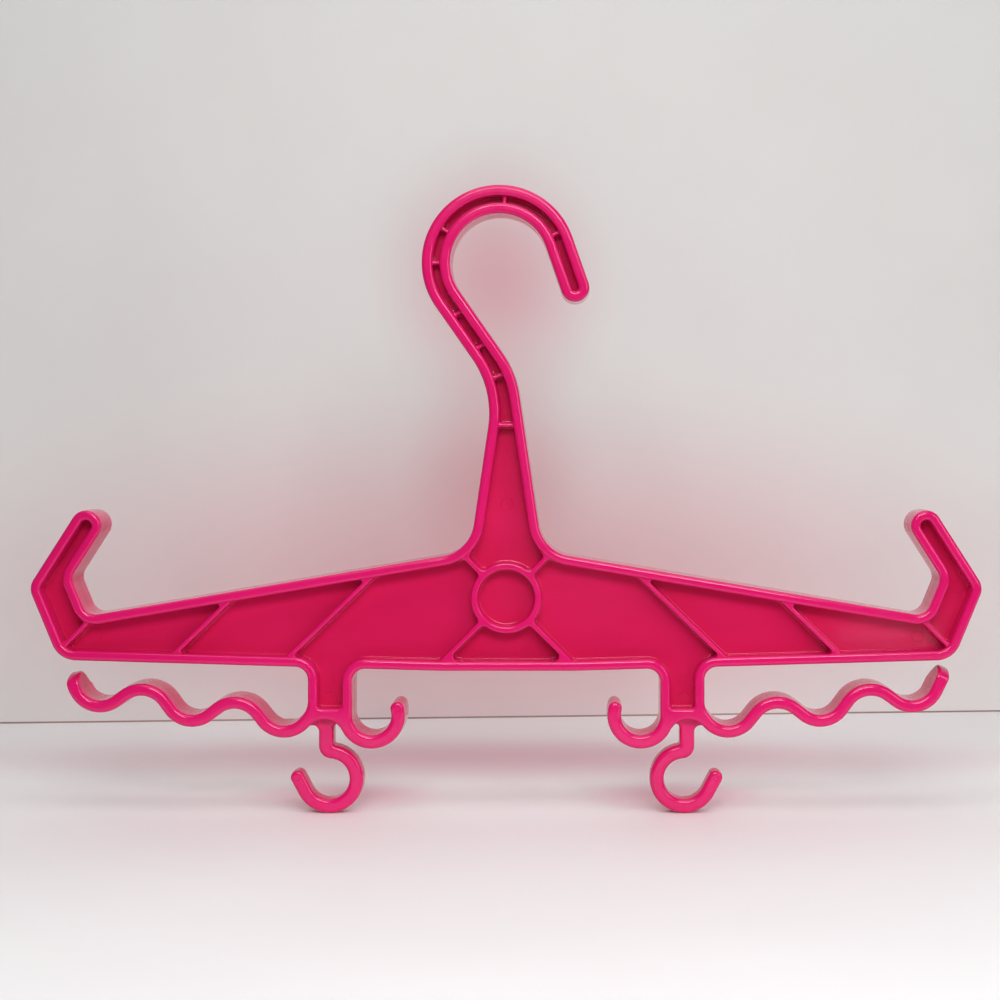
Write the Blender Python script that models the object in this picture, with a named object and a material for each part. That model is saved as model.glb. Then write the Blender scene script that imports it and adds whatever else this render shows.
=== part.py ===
"""A heavy one-piece moulded hanger for dive gear, built as its separate members and ribs.

X runs across the hanger, Y through its depth with the front at -Y, and Z up. The origin is where
the rail carries the crook, straight above the body's centreline. Lengths are in metres.
Side parts are laid out as (u, z), where u is the distance outward from the centreline.
"""

import bmesh
import bpy
from math import acos, atan2, ceil, cos, hypot, pi, radians, sin, sqrt, tan
from mathutils import Matrix

# Section of the moulding
DEPTH = 0.025
WEB = 0.003
RIM = 0.005
EDGE_ROUND = 0.001
POCKET_ROUND = 0.001
GAP = 0.0003
OVERRUN = 0.002

# Crook over the rail
CROOK_INNER_RADIUS = 0.02465
CROOK_WIDTH = 0.0146
CROOK_RIM = 0.0055
CROOK_OFFSET = 0.0035
NOSE_ANGLE = radians(19.3)
NOSE_LENGTH = 0.0246
STEM_LEAN = radians(35.0)
STEM_LEFT_ROUND = 0.048
STEM_RIGHT_ROUND = 0.050

# Neck, which starts below the point where the leaning stem reaches the centreline
NECK_TOP_DROP = 0.016298
NECK_TOP_WIDTH = 0.0167
NECK_TAPER = radians(8.4)
NECK_LENGTH = 0.0655
SHOULDER_ROUND = 0.0185

# Centre panel and arms: the arm's top falls by a share of the panel's height
PANEL_HEIGHT = 0.0636
ARM_FALL_SHARE = 0.58294
BOTTOM_FLAT_HALF = 0.0332
BOTTOM_SLOPE = radians(1.66)

# Upturned prongs at the arm ends
PRONG_BEND_U = 0.2192
PRONG_BEND_RISE = 0.020575
PRONG_WIDTH = 0.0157
PRONG_LENGTH = 0.0261
PRONG_LEAN = radians(32.5)
PRONG_ROOT_WIDTH = 0.0218
PRONG_ROOT_LEAN = radians(22.5)
PRONG_ROOT_ROUND = 0.007
PRONG_INNER_ROUND = 0.0068
PRONG_OUTER_ROUND = 0.009
PRONG_BOTTOM_ROUND = 0.013

# Legs under the arms
LEG_CENTRE_U = 0.08885
LEG_WIDTH = 0.0225
LEG_LENGTH = 0.0245
LEG_FLANGE = 0.0057
LEG_TOP_ROUND = 0.0065
LEG_FLARE_ROUND = 0.010
LEG_POCKET_ROUND = 0.007

# J hooks inside the legs
J_INNER_RADIUS = 0.0098
J_BAR = 0.0071
J_CENTRE_RISE = 0.0022
J_ROOT_ANGLE = radians(25.0)
J_TIP_ANGLE = radians(105.0)

# Wavy hose racks outside the legs
RACK_BAR = 0.0064
TROUGH_INNER_RADIUS = 0.0104
TROUGH_SPACING = 0.0468
TROUGH_COUNT = 3
CREST_DROP = 0.0161
TANGENT_SHARE = 0.982
RACK_SLOPE = radians(7.8)
RACK_SAG = 0.0009
RACK_ROOT_OUTSET = 0.0015
RACK_ROOT_RISE = 0.0076
RACK_ROOT_ANGLE = radians(40.0)
LEFT_TIP_ANGLE = radians(82.0)
LEFT_TIP_LENGTH = 0.0014
RIGHT_TIP_ANGLE = radians(68.0)
RIGHT_TIP_LENGTH = 0.0080

# Drop hooks below the legs
DROP_DEPTH = 0.012
DROP_INNER_RADIUS = 0.0104
DROP_BAR = 0.0068
DROP_CENTRE_OUTSET = 0.00115
DROP_CENTRE_DROP = 0.03085
DROP_STEM_OUTSET = 0.0015
DROP_BEND_ROUND = 0.0066
DROP_STEM_ROUND = 0.0012
DROP_TIP_ANGLE = radians(62.0)
DROP_TIP_LENGTH = 0.0081
ROOT_HALF_WIDTH = 0.0062
ROOT_ROUND = 0.0016

# Parting planes between the members, from the leg, the prong's bend, the arm's peak and the
# underside
CENTRE_PARTING_INSET = 0.02685
PRONG_PARTING_INSET = 0.0187
SHOULDER_PARTING_RISE = 0.0119
LEG_PARTING_DROP = 0.0065

# Ribs and the boss in the pockets
CROOK_RIB = 0.0019
CROOK_RIB_RECESS = 0.0035
CROOK_RIB_ANGLES = (radians(27.4), radians(85.5), radians(149.0), radians(180.0))
STEM_RIB_FIRST = 0.0088
STEM_RIB_SPACING = 0.0202
STEM_RIB_COUNT = 2
BEND_RIB_X = -0.0045
BEND_RIB_RISE = 0.0196
BEND_RIB_LEAN = radians(22.0)
NECK_RIB_DROP = 0.005
ARM_RIB = 0.0022
ARM_RIB_RECESS = 0.0015
ARM_RIB_SLOPE = radians(44.0)
ARM_RIB_FIRST_SHARE = 0.31204
ARM_RIB_SPACING_SHARE = 0.32847
ARM_RIB_COUNT = 2
CORNER_RIB_SHARE = 0.41
CORNER_RIB_SLOPE = radians(45.0)
BOSS_DROP_SHARE = 0.42138
BOSS_OUTER_RADIUS = 0.0177
BOSS_INNER_RADIUS = 0.0150
BOSS_RECESS = 0.001
SPOKE = 0.0025
SPOKE_ANGLE = radians(45.0)

# How finely round stretches are divided
ARC_ERROR = 0.00005
FINEST_STEP = radians(6.0)
COARSEST_STEP = radians(30.0)
SMOOTH_ANGLE = radians(30.0)
LEAST_TURN = radians(1.0)
FLAT_ANGLE = radians(0.1)
SAME_PLACE = 0.000003

COLOUR = (0.76, 0.012, 0.13, 1.0)
ROUGHNESS = 0.28

SIDES = {"left": -1, "right": 1}
FACES = {"front": -1, "back": 1}


def clear_scene():
    for obj in list(bpy.data.objects):
        bpy.data.objects.remove(obj, do_unlink=True)


def new_collection(name, hidden=False):
    collection = bpy.data.collections.new(name)
    collection.hide_render = hidden
    bpy.context.scene.collection.children.link(collection)
    return collection


def pink_plastic(name):
    material = bpy.data.materials.new(name)
    material.use_nodes = True
    shader = material.node_tree.nodes["Principled BSDF"]
    shader.inputs["Base Color"].default_value = COLOUR
    shader.inputs["Roughness"].default_value = ROUGHNESS
    shader.inputs["Metallic"].default_value = 0.0
    material.diffuse_color = COLOUR
    return material


# Plane geometry in (x, z)


def polar(centre, radius, angle):
    return (centre[0] + radius * cos(angle), centre[1] + radius * sin(angle))


def arc(centre, radius, start, end):
    """Points on a circle from the start angle to the end angle, both kept."""
    step = min(max(FINEST_STEP, sqrt(8 * ARC_ERROR / radius)), COARSEST_STEP)
    steps = max(1, ceil(abs(end - start) / step))
    return [polar(centre, radius, start + (end - start) * i / steps) for i in range(steps + 1)]


def bearing(start, end):
    """The direction from one place to another."""
    return atan2(end[1] - start[1], end[0] - start[0])


def circle_through(first, middle, last):
    """The centre and radius of the circle through three places."""
    across, along = bearing(first, middle), bearing(middle, last)
    half_way = ((first[0] + middle[0]) / 2, (first[1] + middle[1]) / 2)
    other_half_way = ((middle[0] + last[0]) / 2, (middle[1] + last[1]) / 2)
    centre = crossing(half_way, across + pi / 2, other_half_way, along + pi / 2)
    return centre, hypot(middle[0] - centre[0], middle[1] - centre[1])


def crossing(point, angle, other, other_angle):
    """Where the line through one point meets the line through the other."""
    dx, dz = cos(angle), sin(angle)
    ex, ez = cos(other_angle), sin(other_angle)
    along = ((other[0] - point[0]) * ez - (other[1] - point[1]) * ex) / (dx * ez - dz * ex)
    return (point[0] + along * dx, point[1] + along * dz)


def sharp(points):
    """Outline corners that are not rounded any further."""
    return [(x, z, 0.0) for x, z in points]


def mirrored(corners, side):
    """(u, z, round) corners on one side of the centreline."""
    return [(side * u, z, r) for u, z, r in corners]


def turning(corners):
    """1 for an outline that runs counter-clockwise and -1 for a clockwise one."""
    pairs = zip(corners, corners[1:] + corners[:1])
    return 1 if sum(a[0] * b[1] - b[0] * a[1] for a, b in pairs) > 0 else -1


def inset(corners, distance):
    """The outline moved inward by a distance, with its rounds kept parallel."""
    way = turning(corners)
    moved = []
    for i, (x, z, r) in enumerate(corners):
        before, after = corners[i - 1], corners[(i + 1) % len(corners)]
        into = atan2(z - before[1], x - before[0])
        out = atan2(after[1] - z, after[0] - x)
        turn = (out - into + pi) % (2 * pi) - pi
        along = (into + turn / 2) + way * pi / 2
        reach = distance / cos(turn / 2)
        if r > 0:
            r = max(r - distance, POCKET_ROUND) if turn * way > 0 else r + distance
        moved.append((x + reach * cos(along), z + reach * sin(along), r))
    return moved


def rounded(corners):
    """The outline's points, with an arc in place of each corner that has a round."""
    points = []
    for i, (x, z, r) in enumerate(corners):
        before, after = corners[i - 1], corners[(i + 1) % len(corners)]
        into = atan2(z - before[1], x - before[0])
        out = atan2(after[1] - z, after[0] - x)
        turn = (out - into + pi) % (2 * pi) - pi
        if r == 0 or abs(turn) < LEAST_TURN:
            points.append((x, z))
            continue
        sides = ((hypot(x - near[0], z - near[1]), near[2]) for near in (before, after))
        room = min(length / 2 if near_round else length for length, near_round in sides)
        length = min(r * tan(abs(turn) / 2), room)
        radius = length / tan(abs(turn) / 2)
        way = 1 if turn > 0 else -1
        start = (x - length * cos(into), z - length * sin(into))
        centre = polar(start, radius, into + way * pi / 2)
        first = into - way * pi / 2
        points += arc(centre, radius, first, first + turn)
    pairs = zip(points, points[-1:] + points[:-1])
    return [a for a, b in pairs if hypot(a[0] - b[0], a[1] - b[1]) > SAME_PLACE]


def strip(path, width):
    """The outline of a bar of even width along a smooth path, square at its start and round at its end."""
    headings = [atan2(b[1] - a[1], b[0] - a[0]) for a, b in zip(path, path[1:])]
    left, right = [], []
    for i, (x, z) in enumerate(path):
        into = headings[max(i - 1, 0)]
        out = headings[min(i, len(headings) - 1)]
        turn = (out - into + pi) % (2 * pi) - pi
        along = into + turn / 2
        reach = width / 2 / cos(turn / 2)
        left.append(polar((x, z), reach, along + pi / 2))
        right.append(polar((x, z), reach, along - pi / 2))
    last = headings[-1]
    end = arc(path[-1], width / 2, last + pi / 2, last - pi / 2)[1:-1]
    return left + end + right[::-1]


# Places worked out from the driving sizes

CROOK_OUTER_RADIUS = CROOK_INNER_RADIUS + CROOK_WIDTH
CROOK_MIDDLE_RADIUS = CROOK_INNER_RADIUS + CROOK_WIDTH / 2
CROOK_CENTRE = (-CROOK_OFFSET, -sqrt(CROOK_INNER_RADIUS**2 - CROOK_OFFSET**2))
STEM_ANGLE = pi + STEM_LEAN
STEM_START = polar(CROOK_CENTRE, CROOK_MIDDLE_RADIUS, STEM_ANGLE)
STEM_BEND = crossing(STEM_START, STEM_ANGLE + pi / 2, (0.0, 0.0), -pi / 2)
NECK_TOP_DEPTH = NECK_TOP_DROP - STEM_BEND[1]
ARM_PEAK_DEPTH = NECK_TOP_DEPTH + NECK_LENGTH
BOTTOM_DEPTH = ARM_PEAK_DEPTH + PANEL_HEIGHT
LEG_DEPTH = BOTTOM_DEPTH + LEG_LENGTH
NECK_BOTTOM_DEPTH = ARM_PEAK_DEPTH - SHOULDER_PARTING_RISE
LEG_START_DEPTH = BOTTOM_DEPTH + LEG_PARTING_DROP
CENTRE_HALF_WIDTH = LEG_CENTRE_U - CENTRE_PARTING_INSET
PRONG_START_U = PRONG_BEND_U - PRONG_PARTING_INSET
ARM_FALL = ARM_FALL_SHARE * PANEL_HEIGHT
ARM_SLOPE = atan2(ARM_FALL, PRONG_BEND_U)
LEG_INNER_U = LEG_CENTRE_U - LEG_WIDTH / 2
LEG_OUTER_U = LEG_CENTRE_U + LEG_WIDTH / 2
J_CENTRE = (LEG_INNER_U - J_INNER_RADIUS, J_CENTRE_RISE - LEG_DEPTH)
J_OUTER_RADIUS = J_INNER_RADIUS + J_BAR
TROUGH_OUTER_RADIUS = TROUGH_INNER_RADIUS + RACK_BAR
FIRST_TROUGH = (
    LEG_OUTER_U + TROUGH_INNER_RADIUS + RACK_ROOT_OUTSET,
    RACK_ROOT_RISE - LEG_DEPTH,
)
DROP_CENTRE = (LEG_CENTRE_U + DROP_CENTRE_OUTSET, -LEG_DEPTH - DROP_CENTRE_DROP)
DROP_STEM_U = DROP_CENTRE[0] + DROP_STEM_OUTSET
RACK_ROOT_LOW = polar(FIRST_TROUGH, TROUGH_OUTER_RADIUS, pi + RACK_ROOT_ANGLE)
J_ROOT_LOW = polar(J_CENTRE, J_OUTER_RADIUS, -J_ROOT_ANGLE)
DOME_CENTRE, DOME_RADIUS = circle_through(RACK_ROOT_LOW, (DROP_STEM_U, -LEG_DEPTH), J_ROOT_LOW)
BOSS_CENTRE = (0.0, -ARM_PEAK_DEPTH - BOSS_DROP_SHARE * PANEL_HEIGHT)
ARM_PEAK = (0.0, -ARM_PEAK_DEPTH)
PRONG_BEND = (PRONG_BEND_U, PRONG_BEND_RISE - ARM_PEAK_DEPTH - ARM_FALL)
PRONG_DOWN = -pi / 2 - PRONG_ROOT_LEAN
PRONG_ROOT = crossing(ARM_PEAK, -ARM_SLOPE, PRONG_BEND, PRONG_DOWN)
PRONG_LOWER = polar(PRONG_BEND, PRONG_ROOT_WIDTH, -PRONG_ROOT_LEAN)
PRONG_HEEL = crossing(PRONG_LOWER, PRONG_DOWN, (BOTTOM_FLAT_HALF, -BOTTOM_DEPTH), BOTTOM_SLOPE)


def crook_corners():
    """From the left of the neck up round the crook to the right of the neck."""
    neck_left = (-NECK_TOP_WIDTH / 2, -NECK_TOP_DEPTH)
    neck_right = (NECK_TOP_WIDTH / 2, -NECK_TOP_DEPTH)
    outer_start = polar(CROOK_CENTRE, CROOK_OUTER_RADIUS, STEM_ANGLE)
    inner_end = polar(CROOK_CENTRE, CROOK_INNER_RADIUS, STEM_ANGLE)
    stem_way = STEM_ANGLE + pi / 2
    left = crossing(outer_start, stem_way, neck_left, -pi / 2 - NECK_TAPER)
    right = crossing(inner_end, stem_way, neck_right, -pi / 2 + NECK_TAPER)
    nose = polar(CROOK_CENTRE, CROOK_MIDDLE_RADIUS, NOSE_ANGLE)
    tip = polar(nose, NOSE_LENGTH, NOSE_ANGLE - pi / 2)
    return (
        [(*left, STEM_LEFT_ROUND)]
        + sharp(arc(CROOK_CENTRE, CROOK_OUTER_RADIUS, STEM_ANGLE, NOSE_ANGLE))
        + sharp(arc(tip, CROOK_WIDTH / 2, NOSE_ANGLE, NOSE_ANGLE - pi))
        + sharp(arc(CROOK_CENTRE, CROOK_INNER_RADIUS, NOSE_ANGLE, STEM_ANGLE))
        + [(*right, STEM_RIGHT_ROUND)]
    )


def prong_corners():
    """From the shoulder along the arm's top and round the prong to the arm's underside, in u."""
    neck = (NECK_TOP_WIDTH / 2, -NECK_TOP_DEPTH)
    shoulder = crossing(neck, -pi / 2 + NECK_TAPER, ARM_PEAK, -ARM_SLOPE)
    inner_end = polar(PRONG_BEND, PRONG_LENGTH, pi / 2 + PRONG_LEAN)
    tip = polar(inner_end, PRONG_WIDTH / 2, PRONG_LEAN)
    outer = polar(PRONG_BEND, PRONG_WIDTH, PRONG_LEAN)
    outer_bend = crossing(outer, pi / 2 + PRONG_LEAN, PRONG_LOWER, PRONG_DOWN)
    return (
        [
            (*shoulder, SHOULDER_ROUND),
            (*PRONG_ROOT, PRONG_ROOT_ROUND),
            (*PRONG_BEND, PRONG_INNER_ROUND),
        ]
        + sharp(arc(tip, PRONG_WIDTH / 2, PRONG_LEAN + pi, PRONG_LEAN))
        + [(*outer_bend, PRONG_OUTER_ROUND), (*PRONG_HEEL, PRONG_BOTTOM_ROUND)]
    )


def underside(u):
    """The arm's underside at a distance outward from the centreline."""
    return (u, -BOTTOM_DEPTH + (u - BOTTOM_FLAT_HALF) * tan(BOTTOM_SLOPE))


def foot_corners():
    """The leg's lower end, from its outer edge to its inner one, with the roots of its hooks."""
    root = RACK_ROOT_ANGLE
    rack_in = polar(FIRST_TROUGH, TROUGH_INNER_RADIUS, pi + root)
    flare = crossing(rack_in, root + pi / 2, (LEG_OUTER_U, 0.0), pi / 2)
    dome_end = bearing(DOME_CENTRE, RACK_ROOT_LOW)
    dome_start = bearing(DOME_CENTRE, J_ROOT_LOW)
    return (
        [(*flare, LEG_FLARE_ROUND)]
        + sharp([rack_in])
        + sharp(arc(DOME_CENTRE, DOME_RADIUS, dome_end, dome_start))
        + sharp(arc(J_CENTRE, J_INNER_RADIUS, -J_ROOT_ANGLE, 0.0))
    )


def plain_foot_corners():
    """The leg's lower end as its pocket follows it, before the pocket is moved inward."""
    low = LEG_FLANGE - LEG_DEPTH - RIM
    return [(LEG_OUTER_U, low, LEG_POCKET_ROUND), (LEG_INNER_U, low, LEG_POCKET_ROUND)]


def hanger_corners(foot):
    """The whole moulding's outline, clockwise from the left of the crook."""
    half = (
        prong_corners()
        + [(*underside(LEG_OUTER_U), LEG_TOP_ROUND)]
        + foot
        + [(*underside(LEG_INNER_U), LEG_TOP_ROUND), (*underside(BOTTOM_FLAT_HALF), LEG_WIDTH)]
    )
    return crook_corners() + mirrored(half, 1) + mirrored(half, -1)[::-1]


def pocket_corners(rim):
    return inset(hanger_corners(plain_foot_corners()), rim)


# Solids


def weld_and_close(mesh, whole_caps):
    """Joins a filled curve's caps to its sides and turns every face outward."""
    work = bmesh.new()
    work.from_mesh(mesh)
    bmesh.ops.remove_doubles(work, verts=work.verts, dist=SAME_PLACE)
    if whole_caps:
        bmesh.ops.dissolve_limit(
            work, angle_limit=FLAT_ANGLE, verts=work.verts, edges=work.edges
        )
    bmesh.ops.recalc_face_normals(work, faces=work.faces)
    work.to_mesh(mesh)
    work.free()


def plate_mesh(name, outlines, depth, edge_round=0.0):
    """A flat plate standing in the XZ plane, centred on Y = 0, with holes where outlines nest."""
    curve = bpy.data.curves.new(name, "CURVE")
    curve.dimensions = "2D"
    curve.fill_mode = "BOTH"
    curve.extrude = depth / 2 - edge_round
    curve.bevel_depth = edge_round
    curve.bevel_resolution = 0
    curve.offset = -edge_round
    for outline in outlines:
        spline = curve.splines.new("POLY")
        spline.points.add(len(outline) - 1)
        for point, (x, z) in zip(spline.points, outline):
            point.co = (x, z, 0.0, 1.0)
        spline.use_cyclic_u = True
    holder = bpy.data.objects.new(name, curve)
    bpy.context.scene.collection.objects.link(holder)
    bpy.context.view_layer.update()
    graph = bpy.context.evaluated_depsgraph_get()
    mesh = bpy.data.meshes.new_from_object(holder.evaluated_get(graph))
    mesh.name = name
    bpy.data.objects.remove(holder, do_unlink=True)
    bpy.data.curves.remove(curve)
    mesh.transform(Matrix.Rotation(pi / 2, 4, "X"))
    weld_and_close(mesh, whole_caps=len(outlines) == 1)
    return mesh


def bar_mesh(name, length, thickness, height):
    """A straight rib: length along X, height along Y and thickness along Z."""
    work = bmesh.new()
    bmesh.ops.create_cube(work, size=1.0)
    bmesh.ops.scale(work, vec=(length, height, thickness), verts=work.verts)
    mesh = bpy.data.meshes.new(name)
    work.to_mesh(mesh)
    work.free()
    return mesh


def add_cutter(name, mesh, cutters, location=(0.0, 0.0, 0.0)):
    cutter = bpy.data.objects.new(name, mesh)
    cutter.location = location
    cutter.hide_render = True
    cutter.display_type = "WIRE"
    cutters.objects.link(cutter)
    return cutter


def add_part(name, mesh, parts, parent, location=(0.0, 0.0, 0.0), turn=0.0):
    """A named sub-part in its own material, turned about Y and placed in the hanger's frame."""
    part = bpy.data.objects.new(name, mesh)
    part.location = location
    part.rotation_euler = (0.0, -turn, 0.0)
    part.parent = parent
    part.data.materials.clear()
    part.data.materials.append(pink_plastic(name))
    part.data.shade_smooth()
    part.data.set_sharp_from_angle(angle=SMOOTH_ANGLE)
    parts.objects.link(part)
    return part


def boolean(part, operation, cutter):
    step = part.modifiers.new(cutter.name, "BOOLEAN")
    step.operation = operation
    step.object = cutter
    step.solver = "EXACT"


def window(name, low, high, cutters):
    """A block that keeps what lies between two (x, z) corners."""
    mesh = bar_mesh(name, high[0] - low[0], high[1] - low[1], DEPTH + 2 * OVERRUN)
    return add_cutter(name, mesh, cutters, ((low[0] + high[0]) / 2, 0.0, (low[1] + high[1]) / 2))


def pocket_cutters(name, rim, cutters):
    """The pocket cut from each face down to the web."""
    depth = DEPTH / 2 - WEB / 2 + OVERRUN
    outline = rounded(pocket_corners(rim))
    made = []
    for face, way in FACES.items():
        mesh = plate_mesh(f"{name}_{face}", [outline], depth)
        made.append(add_cutter(mesh.name, mesh, cutters, (0.0, way * (WEB + depth) / 2, 0.0)))
    return made


def side_window(name, side, inner, outer, low, high, cutters):
    """The same block for one side, given by its inner and outer distance from the centreline."""
    left, right = sorted((side * inner, side * outer))
    return window(name, (left, low), (right, high), cutters)


def member_windows(cutters):
    """The stretch of the outline that each member keeps, with a gap at each parting plane."""
    half = GAP / 2
    wide = PRONG_BEND_U + PRONG_LENGTH + PRONG_ROOT_WIDTH + OVERRUN
    low = -LEG_DEPTH - J_OUTER_RADIUS - OVERRUN
    high = CROOK_WIDTH + CROOK_INNER_RADIUS
    neck, shoulder, leg = -NECK_TOP_DEPTH, -NECK_BOTTOM_DEPTH, -LEG_START_DEPTH
    windows = {
        "hook_crook": window("crook_window", (-wide, neck + half), (wide, high), cutters),
        "neck": window(
            "neck_window",
            (-CENTRE_HALF_WIDTH, shoulder + half),
            (CENTRE_HALF_WIDTH, neck - half),
            cutters,
        ),
        "centre_panel": window(
            "centre_window",
            (half - CENTRE_HALF_WIDTH, low),
            (CENTRE_HALF_WIDTH - half, shoulder - half),
            cutters,
        ),
    }
    for side, way in SIDES.items():
        inner, outer = CENTRE_HALF_WIDTH + half, PRONG_START_U - half
        windows[f"{side}_arm"] = side_window(
            f"{side}_arm_window", way, inner, outer, leg + half, neck, cutters
        )
        windows[f"{side}_leg"] = side_window(
            f"{side}_leg_window", way, inner, outer, low, leg - half, cutters
        )
        windows[f"{side}_prong"] = side_window(
            f"{side}_prong_window", way, PRONG_START_U + half, wide, low, neck, cutters
        )
    return windows


def make_members(parts, cutters, parent):
    """The I-section members: the moulding's outline, parted, with a pocket in each face."""
    outline = rounded(hanger_corners(foot_corners()))
    crook_pockets = pocket_cutters("crook_pocket", CROOK_RIM, cutters)
    pockets = pocket_cutters("pocket", RIM, cutters)
    for name, keep in member_windows(cutters).items():
        mesh = plate_mesh(name, [outline], DEPTH, EDGE_ROUND)
        part = add_part(name, mesh, parts, parent)
        boolean(part, "INTERSECT", keep)
        for pocket in crook_pockets if name == "hook_crook" else pockets:
            boolean(part, "DIFFERENCE", pocket)


def make_rib(name, middle, slope, length, thickness, recess, core, parts, parent):
    """A rib on each face, from just off the web to below the rim, clipped to the pocket."""
    height = (DEPTH - WEB) / 2 - GAP - recess
    for face, way in FACES.items():
        rib_name = f"{name}_{face}"
        y = way * (WEB / 2 + GAP + height / 2)
        mesh = bar_mesh(rib_name, length, thickness, height)
        part = add_part(rib_name, mesh, parts, parent, (middle[0], y, middle[1]), slope)
        boolean(part, "INTERSECT", core)


def make_crook_ribs(core, parts, parent):
    """Short ribs across the crook's groove: on its round, along its stem and at the stem's bend."""
    places = [
        (polar(CROOK_CENTRE, CROOK_MIDDLE_RADIUS, angle), angle) for angle in CROOK_RIB_ANGLES
    ]
    for i in range(STEM_RIB_COUNT):
        along = STEM_RIB_FIRST + i * STEM_RIB_SPACING
        places.append((polar(STEM_START, along, STEM_ANGLE + pi / 2), STEM_ANGLE))
    places.append(((BEND_RIB_X, BEND_RIB_RISE - NECK_TOP_DEPTH), BEND_RIB_LEAN))
    for number, (middle, slope) in enumerate(places, 1):
        make_rib(
            f"crook_rib_{number}", middle, slope, CROOK_WIDTH, CROOK_RIB, CROOK_RIB_RECESS,
            core, parts, parent,
        )


def make_body_ribs(core, parts, parent):
    """The rib across the neck, and on each arm the two sloping ribs and the corner rib."""
    make_rib(
        "neck_rib", (0.0, -NECK_TOP_DEPTH - NECK_RIB_DROP), 0.0, 2 * NECK_TOP_WIDTH,
        CROOK_RIB, ARM_RIB_RECESS, core, parts, parent,
    )
    corner = [a + (b - a) * CORNER_RIB_SHARE for a, b in zip(PRONG_ROOT, PRONG_HEEL)]
    for side, way in SIDES.items():
        for number in range(ARM_RIB_COUNT):
            top = PRONG_BEND_U * (ARM_RIB_FIRST_SHARE + number * ARM_RIB_SPACING_SHARE)
            start = crossing((0.0, -ARM_PEAK_DEPTH - RIM), -ARM_SLOPE, (top, 0.0), pi / 2)
            middle = polar(start, PANEL_HEIGHT / 2, -ARM_RIB_SLOPE)
            make_rib(
                f"{side}_arm_rib_{number + 1}", (way * middle[0], middle[1]),
                -way * ARM_RIB_SLOPE, 2 * PANEL_HEIGHT, ARM_RIB, ARM_RIB_RECESS,
                core, parts, parent,
            )
        make_rib(
            f"{side}_corner_rib", (way * corner[0], corner[1]), -way * CORNER_RIB_SLOPE,
            2 * PRONG_ROOT_WIDTH, ARM_RIB, ARM_RIB_RECESS, core, parts, parent,
        )


def make_boss(core, parts, parent):
    """The ring in the middle of the centre panel and the four spokes that tie it to the rims."""
    height = (DEPTH - WEB) / 2 - GAP - BOSS_RECESS
    middle_y = WEB / 2 + GAP + height / 2
    for face, way in FACES.items():
        radii = (BOSS_OUTER_RADIUS, BOSS_INNER_RADIUS)
        rings = [arc(BOSS_CENTRE, radius, 0.0, 2 * pi)[:-1] for radius in radii]
        mesh = plate_mesh(f"boss_ring_{face}", rings, height)
        add_part(mesh.name, mesh, parts, parent, (0.0, way * middle_y, 0.0))
    length = BOSS_CENTRE[1] + BOTTOM_DEPTH + SHOULDER_ROUND
    for side, way in SIDES.items():
        for level, rise in (("upper", 1), ("lower", -1)):
            angle = rise * SPOKE_ANGLE
            start = BOSS_OUTER_RADIUS + GAP + SPOKE**2 / BOSS_OUTER_RADIUS / 8
            middle = polar(BOSS_CENTRE, start + length / 2, angle)
            make_rib(
                f"{side}_{level}_spoke", (way * middle[0], middle[1]), way * angle,
                length, SPOKE, BOSS_RECESS, core, parts, parent,
            )


def make_j_hooks(parts, parent):
    """A hook under each leg's inner edge that curls up towards the middle."""
    for side, way in SIDES.items():
        radius = J_INNER_RADIUS + J_BAR / 2
        start = -J_ROOT_ANGLE - GAP / J_INNER_RADIUS
        path = arc(J_CENTRE, radius, start, -pi / 2 - J_TIP_ANGLE)
        outline = [(way * u, z) for u, z in strip(path, J_BAR)]
        mesh = plate_mesh(f"{side}_j_hook", [outline], DEPTH, EDGE_ROUND)
        add_part(mesh.name, mesh, parts, parent)


def rack_path(tip_angle, tip_length):
    """The rack's centreline, from the leg outward over troughs and crests to its upturned tip."""
    radius = TROUGH_INNER_RADIUS + RACK_BAR / 2
    start = RACK_ROOT_ANGLE - pi + GAP / TROUGH_INNER_RADIUS
    troughs = [polar(FIRST_TROUGH, i * TROUGH_SPACING, RACK_SLOPE) for i in range(TROUGH_COUNT)]
    troughs[1:-1] = [(u, z - RACK_SAG) for u, z in troughs[1:-1]]
    path = []
    for trough, following in zip(troughs, troughs[1:]):
        way = bearing(trough, following)
        half = hypot(following[0] - trough[0], following[1] - trough[1]) / 2
        crest_radius = TANGENT_SHARE * hypot(half, CREST_DROP) - radius
        leave = atan2(CREST_DROP, half) + acos(TANGENT_SHARE)
        crest = polar(polar(trough, half, way), CREST_DROP, way - pi / 2)
        path += arc(trough, radius, start, way - leave)
        path += arc(crest, crest_radius, way - leave + pi, way + leave)
        start = way + leave - pi
    path += arc(troughs[-1], radius, start, tip_angle - pi / 2)
    path.append(polar(path[-1], tip_length, tip_angle))
    return path


def make_racks(parts, parent):
    """The wavy bars that cradle hoses, outside the legs."""
    tips = {
        "left": (LEFT_TIP_ANGLE, LEFT_TIP_LENGTH),
        "right": (RIGHT_TIP_ANGLE, RIGHT_TIP_LENGTH),
    }
    for side, way in SIDES.items():
        outline = [(way * u, z) for u, z in strip(rack_path(*tips[side]), RACK_BAR)]
        mesh = plate_mesh(f"{side}_hose_rack", [outline], DEPTH, EDGE_ROUND)
        add_part(mesh.name, mesh, parts, parent)


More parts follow.
